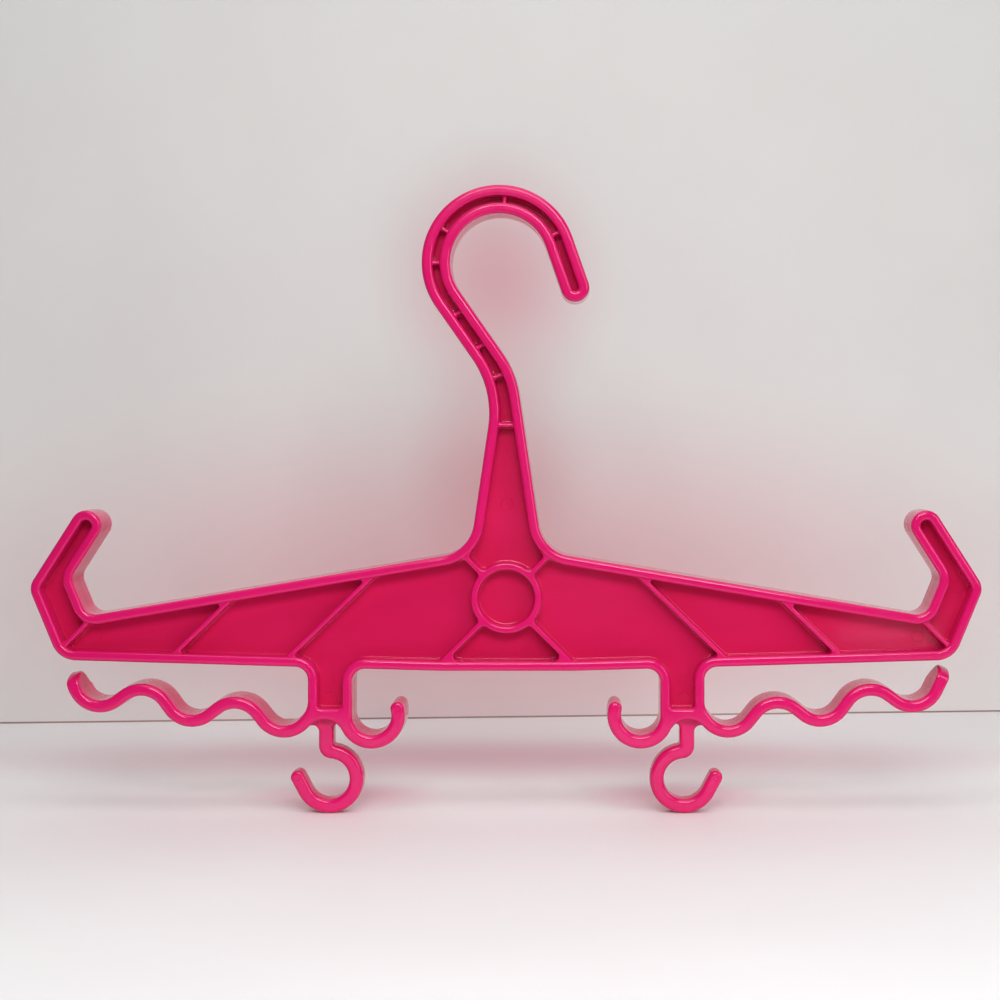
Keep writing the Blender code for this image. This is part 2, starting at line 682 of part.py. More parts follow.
def drop_hook_corners():
    """The drop hook, clockwise from the inner end of its root, in u."""
    inner = DROP_INNER_RADIUS
    outer = DROP_INNER_RADIUS + DROP_BAR
    stem_in = DROP_STEM_U - DROP_BAR / 2
    stem_out = DROP_STEM_U + DROP_BAR / 2
    dome = DOME_RADIUS - GAP
    aside = DROP_STEM_U - DOME_CENTRE[0]
    spread_in = acos((aside - ROOT_HALF_WIDTH) / dome)
    spread_out = acos((aside + ROOT_HALF_WIDTH) / dome)
    root = arc(DOME_CENTRE, dome, spread_in, spread_out)
    shoulder = min(root[0][1], root[-1][1]) - ROOT_ROUND
    tip_angle = DROP_TIP_ANGLE - pi / 2
    tip_start = polar(DROP_CENTRE, (inner + outer) / 2, tip_angle)
    tip = polar(tip_start, DROP_TIP_LENGTH, tip_angle + pi / 2)
    meet = acos((stem_in - DROP_CENTRE[0]) / outer)
    return (
        sharp(root)
        + [(root[-1][0], shoulder, ROOT_ROUND), (stem_out, shoulder, ROOT_ROUND)]
        + [(stem_out, DROP_CENTRE[1] + inner, DROP_BEND_ROUND)]
        + sharp(arc(DROP_CENTRE, inner, pi / 2, tip_angle + 2 * pi))
        + sharp(arc(tip, DROP_BAR / 2, tip_angle + pi, tip_angle))
        + sharp(arc(DROP_CENTRE, outer, tip_angle + 2 * pi, meet)[:-1])
        + [(*polar(DROP_CENTRE, outer, meet), DROP_STEM_ROUND)]
        + [(stem_in, shoulder, ROOT_ROUND), (root[0][0], shoulder, ROOT_ROUND)]
    )


def make_drop_hooks(parts, parent):
    """The thinner hooks that hang below the legs and open outward."""
    for side, way in SIDES.items():
        outline = [(way * u, z) for u, z in rounded(drop_hook_corners())]
        mesh = plate_mesh(f"{side}_drop_hook", [outline], DROP_DEPTH, EDGE_ROUND)
        add_part(mesh.name, mesh, parts, parent)


def main():
    clear_scene()
    parts = new_collection("dive_gear_hanger")
    cutters = new_collection("cutters", hidden=True)
    parent = bpy.data.objects.new("hanger_frame", None)
    parts.objects.link(parent)
    make_members(parts, cutters, parent)
    core_depth = DEPTH + 2 * OVERRUN
    crook_core = rounded(inset(pocket_corners(CROOK_RIM), GAP))
    core = rounded(inset(pocket_corners(RIM), GAP))
    crook_core_mesh = plate_mesh("crook_core", [crook_core], core_depth)
    core_mesh = plate_mesh("pocket_core", [core], core_depth)
    make_crook_ribs(add_cutter("crook_core", crook_core_mesh, cutters), parts, parent)
    body_core = add_cutter("pocket_core", core_mesh, cutters)
    make_body_ribs(body_core, parts, parent)
    make_boss(body_core, parts, parent)
    make_j_hooks(parts, parent)
    make_racks(parts, parent)
    make_drop_hooks(parts, parent)


main()
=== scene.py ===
"""The dressed hanger: one seamless glossy moulding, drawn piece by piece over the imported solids.

X runs across the hanger, Y through its depth with the front at -Y, and Z up, in metres. The origin
is where the rail carries the crook. Side parts are laid out as (u, z), u outward from the middle.
"""

import bmesh
import bpy
from math import acos, asin, atan2, ceil, cos, hypot, pi, radians, sin, sqrt, tan
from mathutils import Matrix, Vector
from mathutils.geometry import tessellate_polygon


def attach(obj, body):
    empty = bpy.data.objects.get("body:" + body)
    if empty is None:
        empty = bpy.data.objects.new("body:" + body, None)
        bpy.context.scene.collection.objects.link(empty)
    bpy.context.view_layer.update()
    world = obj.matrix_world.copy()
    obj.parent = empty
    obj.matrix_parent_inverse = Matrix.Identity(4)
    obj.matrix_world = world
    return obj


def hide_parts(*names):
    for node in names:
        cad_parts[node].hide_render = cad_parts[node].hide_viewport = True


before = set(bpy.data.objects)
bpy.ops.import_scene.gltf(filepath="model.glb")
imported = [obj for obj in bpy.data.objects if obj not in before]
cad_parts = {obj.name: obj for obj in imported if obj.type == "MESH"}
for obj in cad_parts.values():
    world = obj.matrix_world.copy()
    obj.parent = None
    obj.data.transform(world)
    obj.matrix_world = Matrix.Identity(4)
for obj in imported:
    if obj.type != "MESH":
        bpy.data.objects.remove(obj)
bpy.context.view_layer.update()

# Section of the moulding
DEPTH = 0.025
HALF_DEPTH = DEPTH / 2
HALF_WEB = 0.0015
RIM = 0.005
WEB_FILLET = 0.0004
DRAFT = 0.0001
LEAST_POCKET_ROUND = 0.001

# How round the face edges are, and the length over which that changes along an outline
BODY_EDGE = 0.0019
POCKET_EDGE = 0.0016
HOOK_EDGE = 0.0022
HOOK_TIP_EDGE = 0.0018
RACK_TIP_EDGE = 0.0008
TIP_SHARE = 0.6
EDGE_BLEND = 0.006

# The mould's parting line at mid depth, and the bands beside edges that keep faces flat
PARTING_RISE = 0.00005
PARTING_HALF = 0.00022
SUPPORT = 0.00008

# Crook over the rail
CROOK_INNER_RADIUS = 0.02465
CROOK_WIDTH = 0.0146
CROOK_RIM = 0.0055
CROOK_OFFSET = 0.0035
NOSE_ANGLE = radians(19.3)
NOSE_LENGTH = 0.0246
STEM_LEAN = radians(35.0)
STEM_LEFT_ROUND = 0.048
STEM_RIGHT_ROUND = 0.05

# Neck
NECK_TOP_DROP = 0.016298
NECK_TOP_WIDTH = 0.0167
NECK_TAPER = radians(8.4)
NECK_LENGTH = 0.0655
SHOULDER_ROUND = 0.0185

# Centre panel and arms
PANEL_HEIGHT = 0.0636
ARM_FALL_SHARE = 0.58294
BOTTOM_FLAT_HALF = 0.0332
BOTTOM_SLOPE = radians(1.66)

# Upturned prongs at the arm ends
PRONG_BEND_U = 0.2192
PRONG_BEND_RISE = 0.020575
PRONG_WIDTH = 0.0157
PRONG_LENGTH = 0.0261
PRONG_LEAN = radians(32.5)
PRONG_ROOT_WIDTH = 0.0218
PRONG_ROOT_LEAN = radians(22.5)
PRONG_ROOT_ROUND = 0.007
PRONG_INNER_ROUND = 0.0068
PRONG_OUTER_ROUND = 0.009
PRONG_BOTTOM_ROUND = 0.013

# Legs under the arms
LEG_CENTRE_U = 0.08885
LEG_WIDTH = 0.0225
LEG_LENGTH = 0.0245
LEG_FLANGE = 0.0057
LEG_TOP_ROUND = 0.0065
LEG_FLARE_ROUND = 0.01
LEG_POCKET_ROUND = 0.007

# J hooks inside the legs
J_INNER_RADIUS = 0.0098
J_BAR = 0.0071
J_CENTRE_RISE = 0.0022
J_ROOT_ANGLE = radians(25.0)
J_TIP_ANGLE = radians(105.0)

# Wavy hose racks outside the legs
RACK_BAR = 0.0064
TROUGH_INNER_RADIUS = 0.0104
TROUGH_SPACING = 0.0468
TROUGH_COUNT = 3
CREST_DROP = 0.0161
TANGENT_SHARE = 0.982
RACK_SLOPE = radians(7.8)
RACK_SAG = 0.0009
RACK_ROOT_OUTSET = 0.0015
RACK_ROOT_RISE = 0.0076
RACK_ROOT_ANGLE = radians(40.0)
RACK_TIP_ROUND = 0.0016

# Each rack's upturned tip: the angle and the length of its straight end
RACK_TIPS = {"left": (radians(80.0), 0.002), "right": (radians(66.5), 0.0086)}

# How far the racks' tips are drawn back at a face, and over what length of the bar
FRONT_CROWN = (0.005, 0.012)
BACK_CROWN = (0.0088, 0.018)
BACK_CROWN_POWER = 1.5
TIP_MARGIN = 0.0003

# Drop hooks below the legs
DROP_HALF_DEPTH = 0.006
DROP_INNER_RADIUS = 0.01015
DROP_BAR = 0.0073
DROP_CENTRE_OUTSET = 0.00115
DROP_CENTRE_DROP = 0.03085
DROP_STEM_OUTSET = 0.0015
DROP_BEND_ROUND = 0.0066
DROP_BEND_START = radians(98.0)
DROP_STEM_ROUND = 0.0012
DROP_STEM_HALF = 0.0039
DROP_TIP_ANGLE = radians(62.0)
DROP_TIP_LENGTH = 0.0081
DROP_INNER_FILLET = 0.0022
DROP_OUTER_FILLET = 0.0031
ROOT_SINK = 0.0025

# Parting planes between the members
CENTRE_PARTING_INSET = 0.02685
PRONG_PARTING_INSET = 0.0187
SHOULDER_PARTING_RISE = 0.0119
LEG_PARTING_DROP = 0.0065

# Ribs, ring and spokes in the pockets
CROOK_RIB = 0.0019
CROOK_RIB_RECESS = 0.0035
CROOK_RIB_ANGLES = (radians(27.4), radians(85.5), radians(149.0), radians(180.0))
STEM_RIB_FIRST = 0.0088
STEM_RIB_SPACING = 0.0202
STEM_RIB_COUNT = 2
BEND_RIB_X = -0.0045
BEND_RIB_RISE = 0.0196
BEND_RIB_LEAN = radians(22.0)
NECK_RIB_DROP = 0.005
ARM_RIB = 0.0022
ARM_RIB_RECESS = 0.0015
ARM_RIB_SLOPE = radians(44.0)
ARM_RIB_FIRST_SHARE = 0.31204
ARM_RIB_SPACING_SHARE = 0.32847
ARM_RIB_COUNT = 2
CORNER_RIB_SHARE = 0.41
CORNER_RIB_SLOPE = radians(45.0)
BOSS_DROP_SHARE = 0.42138
BOSS_OUTER_RADIUS = 0.0177
BOSS_INNER_RADIUS = 0.0145
BOSS_RECESS = 0.001
SPOKE = 0.0025
SPOKE_ANGLE = radians(45.0)
RIB_TOP_ROUND = 0.00085
RIB_FILLET = 0.0012
SPOKE_FILLET = 0.0026
RIB_DRAFT = 0.0003
RIB_BASE_FILLET = 0.0006

# How far a rib is sunk into web, wall and ring, and the flat beside its end's fillets
EMBED = 0.00006
SINK = 0.002
RING_SINK = 0.0017
FLANGE = 0.0004

# Sunken marks of the mould's ejector pins, on the front webs, in u, and at the hooks' tips
WEB_MARK_RADIUS = 0.0029
WEB_MARKS = ((0.2295, -0.1888), (0.2093, -0.2138), (0.0898, -0.245))
NECK_MARK = (0.0, -0.1465)
TIP_MARK_RADIUS = 0.0013
MARK_DEPTH = 0.00022
MARK_SLOPE = 0.0002
MARK_STEPS = 32

# Camera, worked out from the photograph's perspective; the pixels are at the front face
IMAGE_SIDE = 1000.0
SENSOR = 36.0
METRES_PER_PIXEL = 0.0005031
ORIGIN_PIXEL = (506.0, 213.5)
AXIS_PIXEL = (577.0, 440.0)
CAMERA_DISTANCE = 0.95

# Room
WALL_GAP = 0.339
WALL_TURN = radians(4.7)
WALL_LIFT = 0.0011
TABLE_FRONT = 0.335
ROOM_REACH = 4.0

# Lamps, all aimed at one place: name, place, size, power, and whether the gloss shows it
LAMP_TARGET = (0.0, 0.0, -0.16)
LAMPS = (
    ("front_lamp", (0.06, -0.9925, -0.165), (0.25, 0.25), 1.0, False),
    ("front_upper_lamp", (0.08, -1.02, 0.34), (0.6, 0.32), 6.7, True),
    ("overhead_lamp", (0.05, -0.52, 0.93), (1.0, 0.5), 3.9, True),
    ("right_lamp", (0.85, -0.85, 0.15), (0.6, 0.6), 3.3, True),
    ("top_lamp", (0.0, 0.0, 0.9), (1.4, 0.6), 2.1, True),
    ("glint_lamp", (0.35, -0.9, -0.309), (0.11, 0.01), 0.012, True),
)
WORLD_COLOUR = (1.0, 0.98, 0.99, 1.0)
WORLD_STRENGTH = 0.02

# Painted surfaces of the room
TABLE_LIGHT = (0.98, 0.975, 0.98, 1.0)
TABLE_DARK = (0.95, 0.94, 0.95, 1.0)
TABLE_ROUGHNESS = 0.55
WALL_LIGHT = (0.79, 0.785, 0.77, 1.0)
WALL_DARK = (0.76, 0.75, 0.735, 1.0)
# The strip in the gap under the wall: the board edge's brownish colour, darkened with painted shade of
# the gap
EDGE_AND_GAP_SHADE_LIGHT = (0.44, 0.28, 0.25, 1.0)
EDGE_AND_GAP_SHADE_DARK = (0.3, 0.19, 0.17, 1.0)
WALL_ROUGHNESS = 0.7
ROUGHNESS_SWING = 0.04

# Painted shadow and painted pink bounce light that the hanger casts on wall and table: centre, reach and
# tint of each patch, even across the surface
ACROSS = 5.0
WALL_PAINTED_SHADE = (
    ((-0.017, 0.0, -0.22), (0.509, ACROSS, 0.172), (0.93, 0.58, 0.63, 1.0)),
    ((-0.021, 0.0, -0.134), (0.073, ACROSS, 0.105), (0.95, 0.715, 0.75, 1.0)),
    ((-0.02, 0.0, -0.004), (0.095, ACROSS, 0.11), (0.92, 0.56, 0.62, 1.0)),
)
TABLE_PAINTED_SHADE = (
    ((-0.01, 0.165, -0.303), (0.42, 0.1, ACROSS), (0.97, 0.7, 0.76, 1.0)),
    ((-0.088, 0.042, -0.303), (0.065, 0.052, ACROSS), (0.96, 0.66, 0.73, 1.0)),
    ((0.088, 0.042, -0.303), (0.065, 0.052, ACROSS), (0.96, 0.66, 0.73, 1.0)),
)

# Pink plastic
PINK_DEEP = (0.68, 0.008, 0.128, 1.0)
PINK_LIGHT = (0.745, 0.0105, 0.15, 1.0)
# Painted shade: the pink turns a deeper red towards the mid-plane, where the pockets' webs lie in shade
PINK_RECESS_SHADE = (0.89, 1.15, 0.64, 1.0)
RECESS_SHADE_END = 0.005
PINK_SPECK = (0.82, 0.03, 0.19, 1.0)
PINK_ROUGHNESS = (0.08, 0.15)
PINK_IOR = 1.55
PINK_SHEEN = (1.0, 0.66, 0.82, 1.0)
FLOW_STRETCH = (0.4, 1.0, 1.0)
PEEL_STRENGTH = 0.03
PEEL_HEIGHT = 0.00002
FLOW_STRENGTH = 0.03
FLOW_HEIGHT = 0.0002

# Noise: features in a metre, detail, roughness and distortion
CLOUD_NOISE = (28.0, 4.0, 0.55, 0.0)
SPECK_NOISE = (2600.0, 2.0, 0.5, 0.0)
SATIN_NOISE = (160.0, 5.0, 0.6, 0.3)
PEEL_NOISE = (1500.0, 3.0, 0.5, 0.0)
FLOW_NOISE = (90.0, 2.0, 0.5, 0.0)
MOTTLE_NOISE = (7.0, 4.0, 0.6, 0.0)
GRAIN_NOISE = (900.0, 2.0, 0.5, 0.0)
NOISE_ENDS = (0.3, 0.7)
SPECK_ENDS = (0.62, 0.8)
SPECK_MOST = 0.1

# Sockets of a colour Mix node
MIX_SHARE, MIX_FIRST, MIX_SECOND, MIX_RESULT = 0, 6, 7, 2

# How finely round stretches are divided, and what is too small to matter
ARC_ERROR = 0.000004
FINEST_STEP = radians(2.5)
COARSEST_STEP = radians(12.0)
ROUND_STEPS = 5
WALL_STEPS = 8
SHARP_ANGLE = radians(40.0)
LEAST_TURN = radians(0.5)
LEAST_MITRE = 0.3
SAME_PLACE = 0.00002
CUT_SNAP = 0.0000001

SIDES = {"left": -1, "right": 1}
FACES = {"front": -1, "back": 1}


# Steps of a quarter round in shares of its radius: how far in it has gone, how far up is left
ROUND_TURNS = [pi / 2 * i / ROUND_STEPS for i in range(ROUND_STEPS + 1)]
ROUND = [(1 - cos(turn), 1 - sin(turn)) for turn in ROUND_TURNS]


# Plane geometry in (x, z)


def polar(centre, radius, angle):
    """The place at a distance from a centre, at an angle."""
    return (centre[0] + radius * cos(angle), centre[1] + radius * sin(angle))


def arc(centre, radius, start, end):
    """Points on a circle from the start angle to the end angle, both kept."""
    step = min(max(FINEST_STEP, sqrt(8 * ARC_ERROR / radius)), COARSEST_STEP)
    steps = max(1, ceil(abs(end - start) / step))
    return [polar(centre, radius, start + (end - start) * i / steps) for i in range(steps + 1)]


def bearing(start, end):
    """The direction from one place to another."""
    return atan2(end[1] - start[1], end[0] - start[0])


def apart(one, other):
    """How far one place is from another."""
    return hypot(one[0] - other[0], one[1] - other[1])


def half_way(one, other):
    """The place half way between two others."""
    return ((one[0] + other[0]) / 2, (one[1] + other[1]) / 2)


def circle_through(first, middle, last):
    """The centre and radius of the circle through three places."""
    across = bearing(first, middle) + pi / 2
    other_across = bearing(middle, last) + pi / 2
    centre = crossing(half_way(first, middle), across, half_way(middle, last), other_across)
    return centre, apart(middle, centre)


def crossing(point, angle, other, other_angle):
    """Where the line through one point meets the line through the other."""
    dx, dz = cos(angle), sin(angle)
    ex, ez = cos(other_angle), sin(other_angle)
    along = ((other[0] - point[0]) * ez - (other[1] - point[1]) * ex) / (dx * ez - dz * ex)
    return (point[0] + along * dx, point[1] + along * dz)


def corner(point, fillet=0.0, edge=BODY_EDGE):
    """An outline corner: its place, its fillet, and how round its face edge is."""
    return (*point, fillet, edge)


def sharp(points, edge=BODY_EDGE):
    """Corners without a fillet at these points."""
    return [corner(p, 0.0, edge) for p in points]


def mirrored(corners):
    """The same corners on the hanger's other side."""
    return [(-x, *rest) for x, *rest in corners]


def wrapped(angle):
    """The same angle, from a half turn back to a half turn ahead."""
    return (angle + pi) % (2 * pi) - pi


def turning(points):
    """1 for a counter-clockwise outline and -1 for a clockwise one."""
    pairs = zip(points, points[1:] + points[:1])
    return 1 if sum(a[0] * b[1] - b[0] * a[1] for a, b in pairs) > 0 else -1


def headings(points, i):
    """The direction in which an outline meets a point, and its turn there."""
    before, here, after = points[i - 1], points[i], points[(i + 1) % len(points)]
    into = bearing(before, here)
    return into, wrapped(bearing(here, after) - into)


def inset(corners, distance):
    """The outline moved inward by a distance, with its fillets kept parallel."""
    way = turning(corners)
    moved = []
    for i, (x, z, fillet, edge) in enumerate(corners):
        into, turn = headings(corners, i)
        along = (into + turn / 2) + way * pi / 2
        reach = distance / cos(turn / 2)
        if fillet > 0:
            tight = turn * way > 0
            fillet = max(fillet - distance, LEAST_POCKET_ROUND) if tight else fillet + distance
        moved.append((x + reach * cos(along), z + reach * sin(along), fillet, edge))
    return moved


def rounded(corners):
    """The points and edge rounding, an arc for each fillet and no place twice."""
    points = []
    for i, (x, z, fillet, edge) in enumerate(corners):
        before, after = corners[i - 1], corners[(i + 1) % len(corners)]
        into, turn = headings(corners, i)
        if fillet == 0 or abs(turn) < LEAST_TURN:
            points.append((x, z, edge))
            continue
        sides = ((apart((x, z), near), near[2]) for near in (before, after))
        room = min(length / 2 if near_fillet else length for length, near_fillet in sides)
        length = min(fillet * tan(abs(turn) / 2), room)
        radius = length / tan(abs(turn) / 2)
        way = 1 if turn > 0 else -1
        start = (x - length * cos(into), z - length * sin(into))
        centre = polar(start, radius, into + way * pi / 2)
        first = into - way * pi / 2
        points += [(*p, edge) for p in arc(centre, radius, first, first + turn)]
    pairs = zip(points, points[-1:] + points[:-1])
    return [a for a, b in pairs if apart(a, b) > SAME_PLACE]


def strip(path, width, tip_round):
    """The outline of an even bar along a path, square at its start and rounded at its tip."""
    ways = [bearing(a, b) for a, b in zip(path, path[1:])]
    left, right = [], []
    for i, point in enumerate(path):
        into = ways[max(i - 1, 0)]
        turn = wrapped(ways[min(i, len(ways) - 1)] - into)
        reach = width / 2 / cos(turn / 2)
        left.append(polar(point, reach, into + turn / 2 + pi / 2))
        right.append(polar(point, reach, into + turn / 2 - pi / 2))
    ahead, flat = ways[-1], width / 2 - tip_round
    end = polar(path[-1], flat, ahead)
    for edge, across in ((left, ahead + pi / 2), (right, ahead - pi / 2)):
        edge.extend(arc(polar(end, flat, across), tip_round, across, ahead))
    return left + right[::-1]


# Places worked out from the driving sizes

CROOK_OUTER_RADIUS = CROOK_INNER_RADIUS + CROOK_WIDTH
CROOK_MIDDLE_RADIUS = CROOK_INNER_RADIUS + CROOK_WIDTH / 2
CROOK_CENTRE = (-CROOK_OFFSET, -sqrt(CROOK_INNER_RADIUS**2 - CROOK_OFFSET**2))
STEM_ANGLE = pi + STEM_LEAN
STEM_START = polar(CROOK_CENTRE, CROOK_MIDDLE_RADIUS, STEM_ANGLE)
STEM_BEND = crossing(STEM_START, STEM_ANGLE + pi / 2, (0.0, 0.0), -pi / 2)
NECK_TOP_DEPTH = NECK_TOP_DROP - STEM_BEND[1]
ARM_PEAK_DEPTH = NECK_TOP_DEPTH + NECK_LENGTH
BOTTOM_DEPTH = ARM_PEAK_DEPTH + PANEL_HEIGHT
LEG_DEPTH = BOTTOM_DEPTH + LEG_LENGTH
NECK_BOTTOM_DEPTH = ARM_PEAK_DEPTH - SHOULDER_PARTING_RISE
LEG_START_DEPTH = BOTTOM_DEPTH + LEG_PARTING_DROP
CENTRE_HALF_WIDTH = LEG_CENTRE_U - CENTRE_PARTING_INSET
PRONG_START_U = PRONG_BEND_U - PRONG_PARTING_INSET
ARM_FALL = ARM_FALL_SHARE * PANEL_HEIGHT
ARM_SLOPE = atan2(ARM_FALL, PRONG_BEND_U)
LEG_INNER_U = LEG_CENTRE_U - LEG_WIDTH / 2
LEG_OUTER_U = LEG_CENTRE_U + LEG_WIDTH / 2
J_CENTRE = (LEG_INNER_U - J_INNER_RADIUS, J_CENTRE_RISE - LEG_DEPTH)
J_MIDDLE_RADIUS = J_INNER_RADIUS + J_BAR / 2
J_OUTER_RADIUS = J_INNER_RADIUS + J_BAR
J_TIP = polar(J_CENTRE, J_MIDDLE_RADIUS, -pi / 2 - J_TIP_ANGLE)
TROUGH_OUTER_RADIUS = TROUGH_INNER_RADIUS + RACK_BAR
TROUGH_MIDDLE_RADIUS = TROUGH_INNER_RADIUS + RACK_BAR / 2
FIRST_TROUGH = (LEG_OUTER_U + TROUGH_INNER_RADIUS + RACK_ROOT_OUTSET, RACK_ROOT_RISE - LEG_DEPTH)
DROP_CENTRE = (LEG_CENTRE_U + DROP_CENTRE_OUTSET, -LEG_DEPTH - DROP_CENTRE_DROP)
DROP_STEM_U = DROP_CENTRE[0] + DROP_STEM_OUTSET
DROP_OUTER_RADIUS = DROP_INNER_RADIUS + DROP_BAR
DROP_END = DROP_TIP_ANGLE - pi / 2
DROP_TIP_START = polar(DROP_CENTRE, DROP_INNER_RADIUS + DROP_BAR / 2, DROP_END)
DROP_TIP = polar(DROP_TIP_START, DROP_TIP_LENGTH, DROP_TIP_ANGLE)
RACK_ROOT_LOW = polar(FIRST_TROUGH, TROUGH_OUTER_RADIUS, pi + RACK_ROOT_ANGLE)
J_ROOT_LOW = polar(J_CENTRE, J_OUTER_RADIUS, -J_ROOT_ANGLE)
DOME_CENTRE, DOME_RADIUS = circle_through(RACK_ROOT_LOW, (DROP_STEM_U, -LEG_DEPTH), J_ROOT_LOW)
BOSS_CENTRE = (0.0, -ARM_PEAK_DEPTH - BOSS_DROP_SHARE * PANEL_HEIGHT)
ARM_PEAK = (0.0, -ARM_PEAK_DEPTH)
PRONG_BEND = (PRONG_BEND_U, PRONG_BEND_RISE - ARM_PEAK_DEPTH - ARM_FALL)
PRONG_DOWN = -pi / 2 - PRONG_ROOT_LEAN
PRONG_ROOT = crossing(ARM_PEAK, -ARM_SLOPE, PRONG_BEND, PRONG_DOWN)
PRONG_LOWER = polar(PRONG_BEND, PRONG_ROOT_WIDTH, -PRONG_ROOT_LEAN)
PRONG_HEEL = crossing(PRONG_LOWER, PRONG_DOWN, (BOTTOM_FLAT_HALF, -BOTTOM_DEPTH), BOTTOM_SLOPE)
FLOOR_Z = DROP_CENTRE[1] - DROP_INNER_RADIUS - DROP_BAR


def crook_corners():
    """From the left of the neck up round the crook to the right of the neck."""
    neck_left = (-NECK_TOP_WIDTH / 2, -NECK_TOP_DEPTH)
    neck_right = (NECK_TOP_WIDTH / 2, -NECK_TOP_DEPTH)
    outer_start = polar(CROOK_CENTRE, CROOK_OUTER_RADIUS, STEM_ANGLE)
    inner_end = polar(CROOK_CENTRE, CROOK_INNER_RADIUS, STEM_ANGLE)
    stem_way = STEM_ANGLE + pi / 2
    left = crossing(outer_start, stem_way, neck_left, -pi / 2 - NECK_TAPER)
    right = crossing(inner_end, stem_way, neck_right, -pi / 2 + NECK_TAPER)
    nose = polar(CROOK_CENTRE, CROOK_MIDDLE_RADIUS, NOSE_ANGLE)
    tip = polar(nose, NOSE_LENGTH, NOSE_ANGLE - pi / 2)
    return (
        [corner(left, STEM_LEFT_ROUND)]
        + sharp(arc(CROOK_CENTRE, CROOK_OUTER_RADIUS, STEM_ANGLE, NOSE_ANGLE))
        + sharp(arc(tip, CROOK_WIDTH / 2, NOSE_ANGLE, NOSE_ANGLE - pi))
        + sharp(arc(CROOK_CENTRE, CROOK_INNER_RADIUS, NOSE_ANGLE, STEM_ANGLE))
        + [corner(right, STEM_RIGHT_ROUND)]
    )


def prong_corners():
    """From the shoulder along the arm's top and round the prong to the arm's underside, in u."""
    neck = (NECK_TOP_WIDTH / 2, -NECK_TOP_DEPTH)
    shoulder = crossing(neck, -pi / 2 + NECK_TAPER, ARM_PEAK, -ARM_SLOPE)
    inner_end = polar(PRONG_BEND, PRONG_LENGTH, pi / 2 + PRONG_LEAN)
    tip = polar(inner_end, PRONG_WIDTH / 2, PRONG_LEAN)
    outer = polar(PRONG_BEND, PRONG_WIDTH, PRONG_LEAN)
    outer_bend = crossing(outer, pi / 2 + PRONG_LEAN, PRONG_LOWER, PRONG_DOWN)
    return (
        [
            corner(shoulder, SHOULDER_ROUND),
            corner(PRONG_ROOT, PRONG_ROOT_ROUND),
            corner(PRONG_BEND, PRONG_INNER_ROUND),
        ]
        + sharp(arc(tip, PRONG_WIDTH / 2, PRONG_LEAN + pi, PRONG_LEAN))
        + [corner(outer_bend, PRONG_OUTER_ROUND), corner(PRONG_HEEL, PRONG_BOTTOM_ROUND)]
    )


def underside(u):
    """The arm's underside at a distance outward from the centreline."""
    return (u, -BOTTOM_DEPTH + (u - BOTTOM_FLAT_HALF) * tan(BOTTOM_SLOPE))


def troughs():
    """The middles of the rack's troughs, of which the inner ones sag a little."""
    places = [polar(FIRST_TROUGH, i * TROUGH_SPACING, RACK_SLOPE) for i in range(TROUGH_COUNT)]
    return places[:1] + [(u, z - RACK_SAG) for u, z in places[1:-1]] + places[-1:]


def rack_path(tip_angle, tip_length):
    """The rack's centreline, from the leg over troughs and crests to its upturned tip."""
    radius = TROUGH_MIDDLE_RADIUS
    start = RACK_ROOT_ANGLE - pi
    path = []
    for trough, following in zip(troughs(), troughs()[1:]):
        way = bearing(trough, following)
        half = apart(trough, following) / 2
        crest_radius = TANGENT_SHARE * hypot(half, CREST_DROP) - radius
        leave = atan2(CREST_DROP, half) + acos(TANGENT_SHARE)
        crest = polar(polar(trough, half, way), CREST_DROP, way - pi / 2)
        path += arc(trough, radius, start, way - leave)
        path += arc(crest, crest_radius, way - leave + pi, way + leave)
        start = way + leave - pi
    path += arc(troughs()[-1], radius, start, tip_angle - pi / 2)
    path.append(polar(path[-1], tip_length, tip_angle))
    return path


def bar_corners(path, width, tip_edge, tip_round):
    """A bar along a path, whose face edges are rounded otherwise round its tip."""
    near = TIP_SHARE * width
    return [
        corner(p, 0.0, tip_edge if apart(p, path[-1]) < near else HOOK_EDGE)
        for p in strip(path, width, tip_round)
    ]


def foot_corners(side):
    """The leg's lower end with rack and J hook, from its outer edge to its inner one."""
    root = RACK_ROOT_ANGLE
    rack_in = polar(FIRST_TROUGH, TROUGH_INNER_RADIUS, pi + root)
    flare = crossing(rack_in, root + pi / 2, (LEG_OUTER_U, 0.0), pi / 2)
    dome_end = bearing(DOME_CENTRE, RACK_ROOT_LOW)
    dome_start = bearing(DOME_CENTRE, J_ROOT_LOW)
    j_path = arc(J_CENTRE, J_MIDDLE_RADIUS, -J_ROOT_ANGLE, -pi / 2 - J_TIP_ANGLE)
    return (
        [corner(flare, LEG_FLARE_ROUND)]
        + bar_corners(rack_path(*RACK_TIPS[side]), RACK_BAR, RACK_TIP_EDGE, RACK_TIP_ROUND)
        + sharp(arc(DOME_CENTRE, DOME_RADIUS, dome_end, dome_start)[1:-1])
        + bar_corners(j_path, J_BAR, HOOK_TIP_EDGE, J_BAR / 2)
        + sharp(arc(J_CENTRE, J_INNER_RADIUS, -J_ROOT_ANGLE, 0.0)[1:])
    )


def plain_foot_corners():
    """The leg's lower end as its pocket follows it, before the pocket is moved inward."""
    low = LEG_FLANGE - LEG_DEPTH - RIM
    return [
        corner((LEG_OUTER_U, low), LEG_POCKET_ROUND),
        corner((LEG_INNER_U, low), LEG_POCKET_ROUND),
    ]


def half_corners(foot):
    """From the shoulder outward, back along the arm's underside and round the foot, in u."""
    return (
        prong_corners()
        + [corner(underside(LEG_OUTER_U), LEG_TOP_ROUND)]
        + foot
        + [
            corner(underside(LEG_INNER_U), LEG_TOP_ROUND),
            corner(underside(BOTTOM_FLAT_HALF), LEG_WIDTH),
        ]
    )


def silhouette():
    """The whole outline, but for the drop hooks, clockwise from the crook's left."""
    right = half_corners(foot_corners("right"))
    left = mirrored(half_corners(foot_corners("left")))
    return even_edges(rounded(crook_corners() + right + left[::-1]))


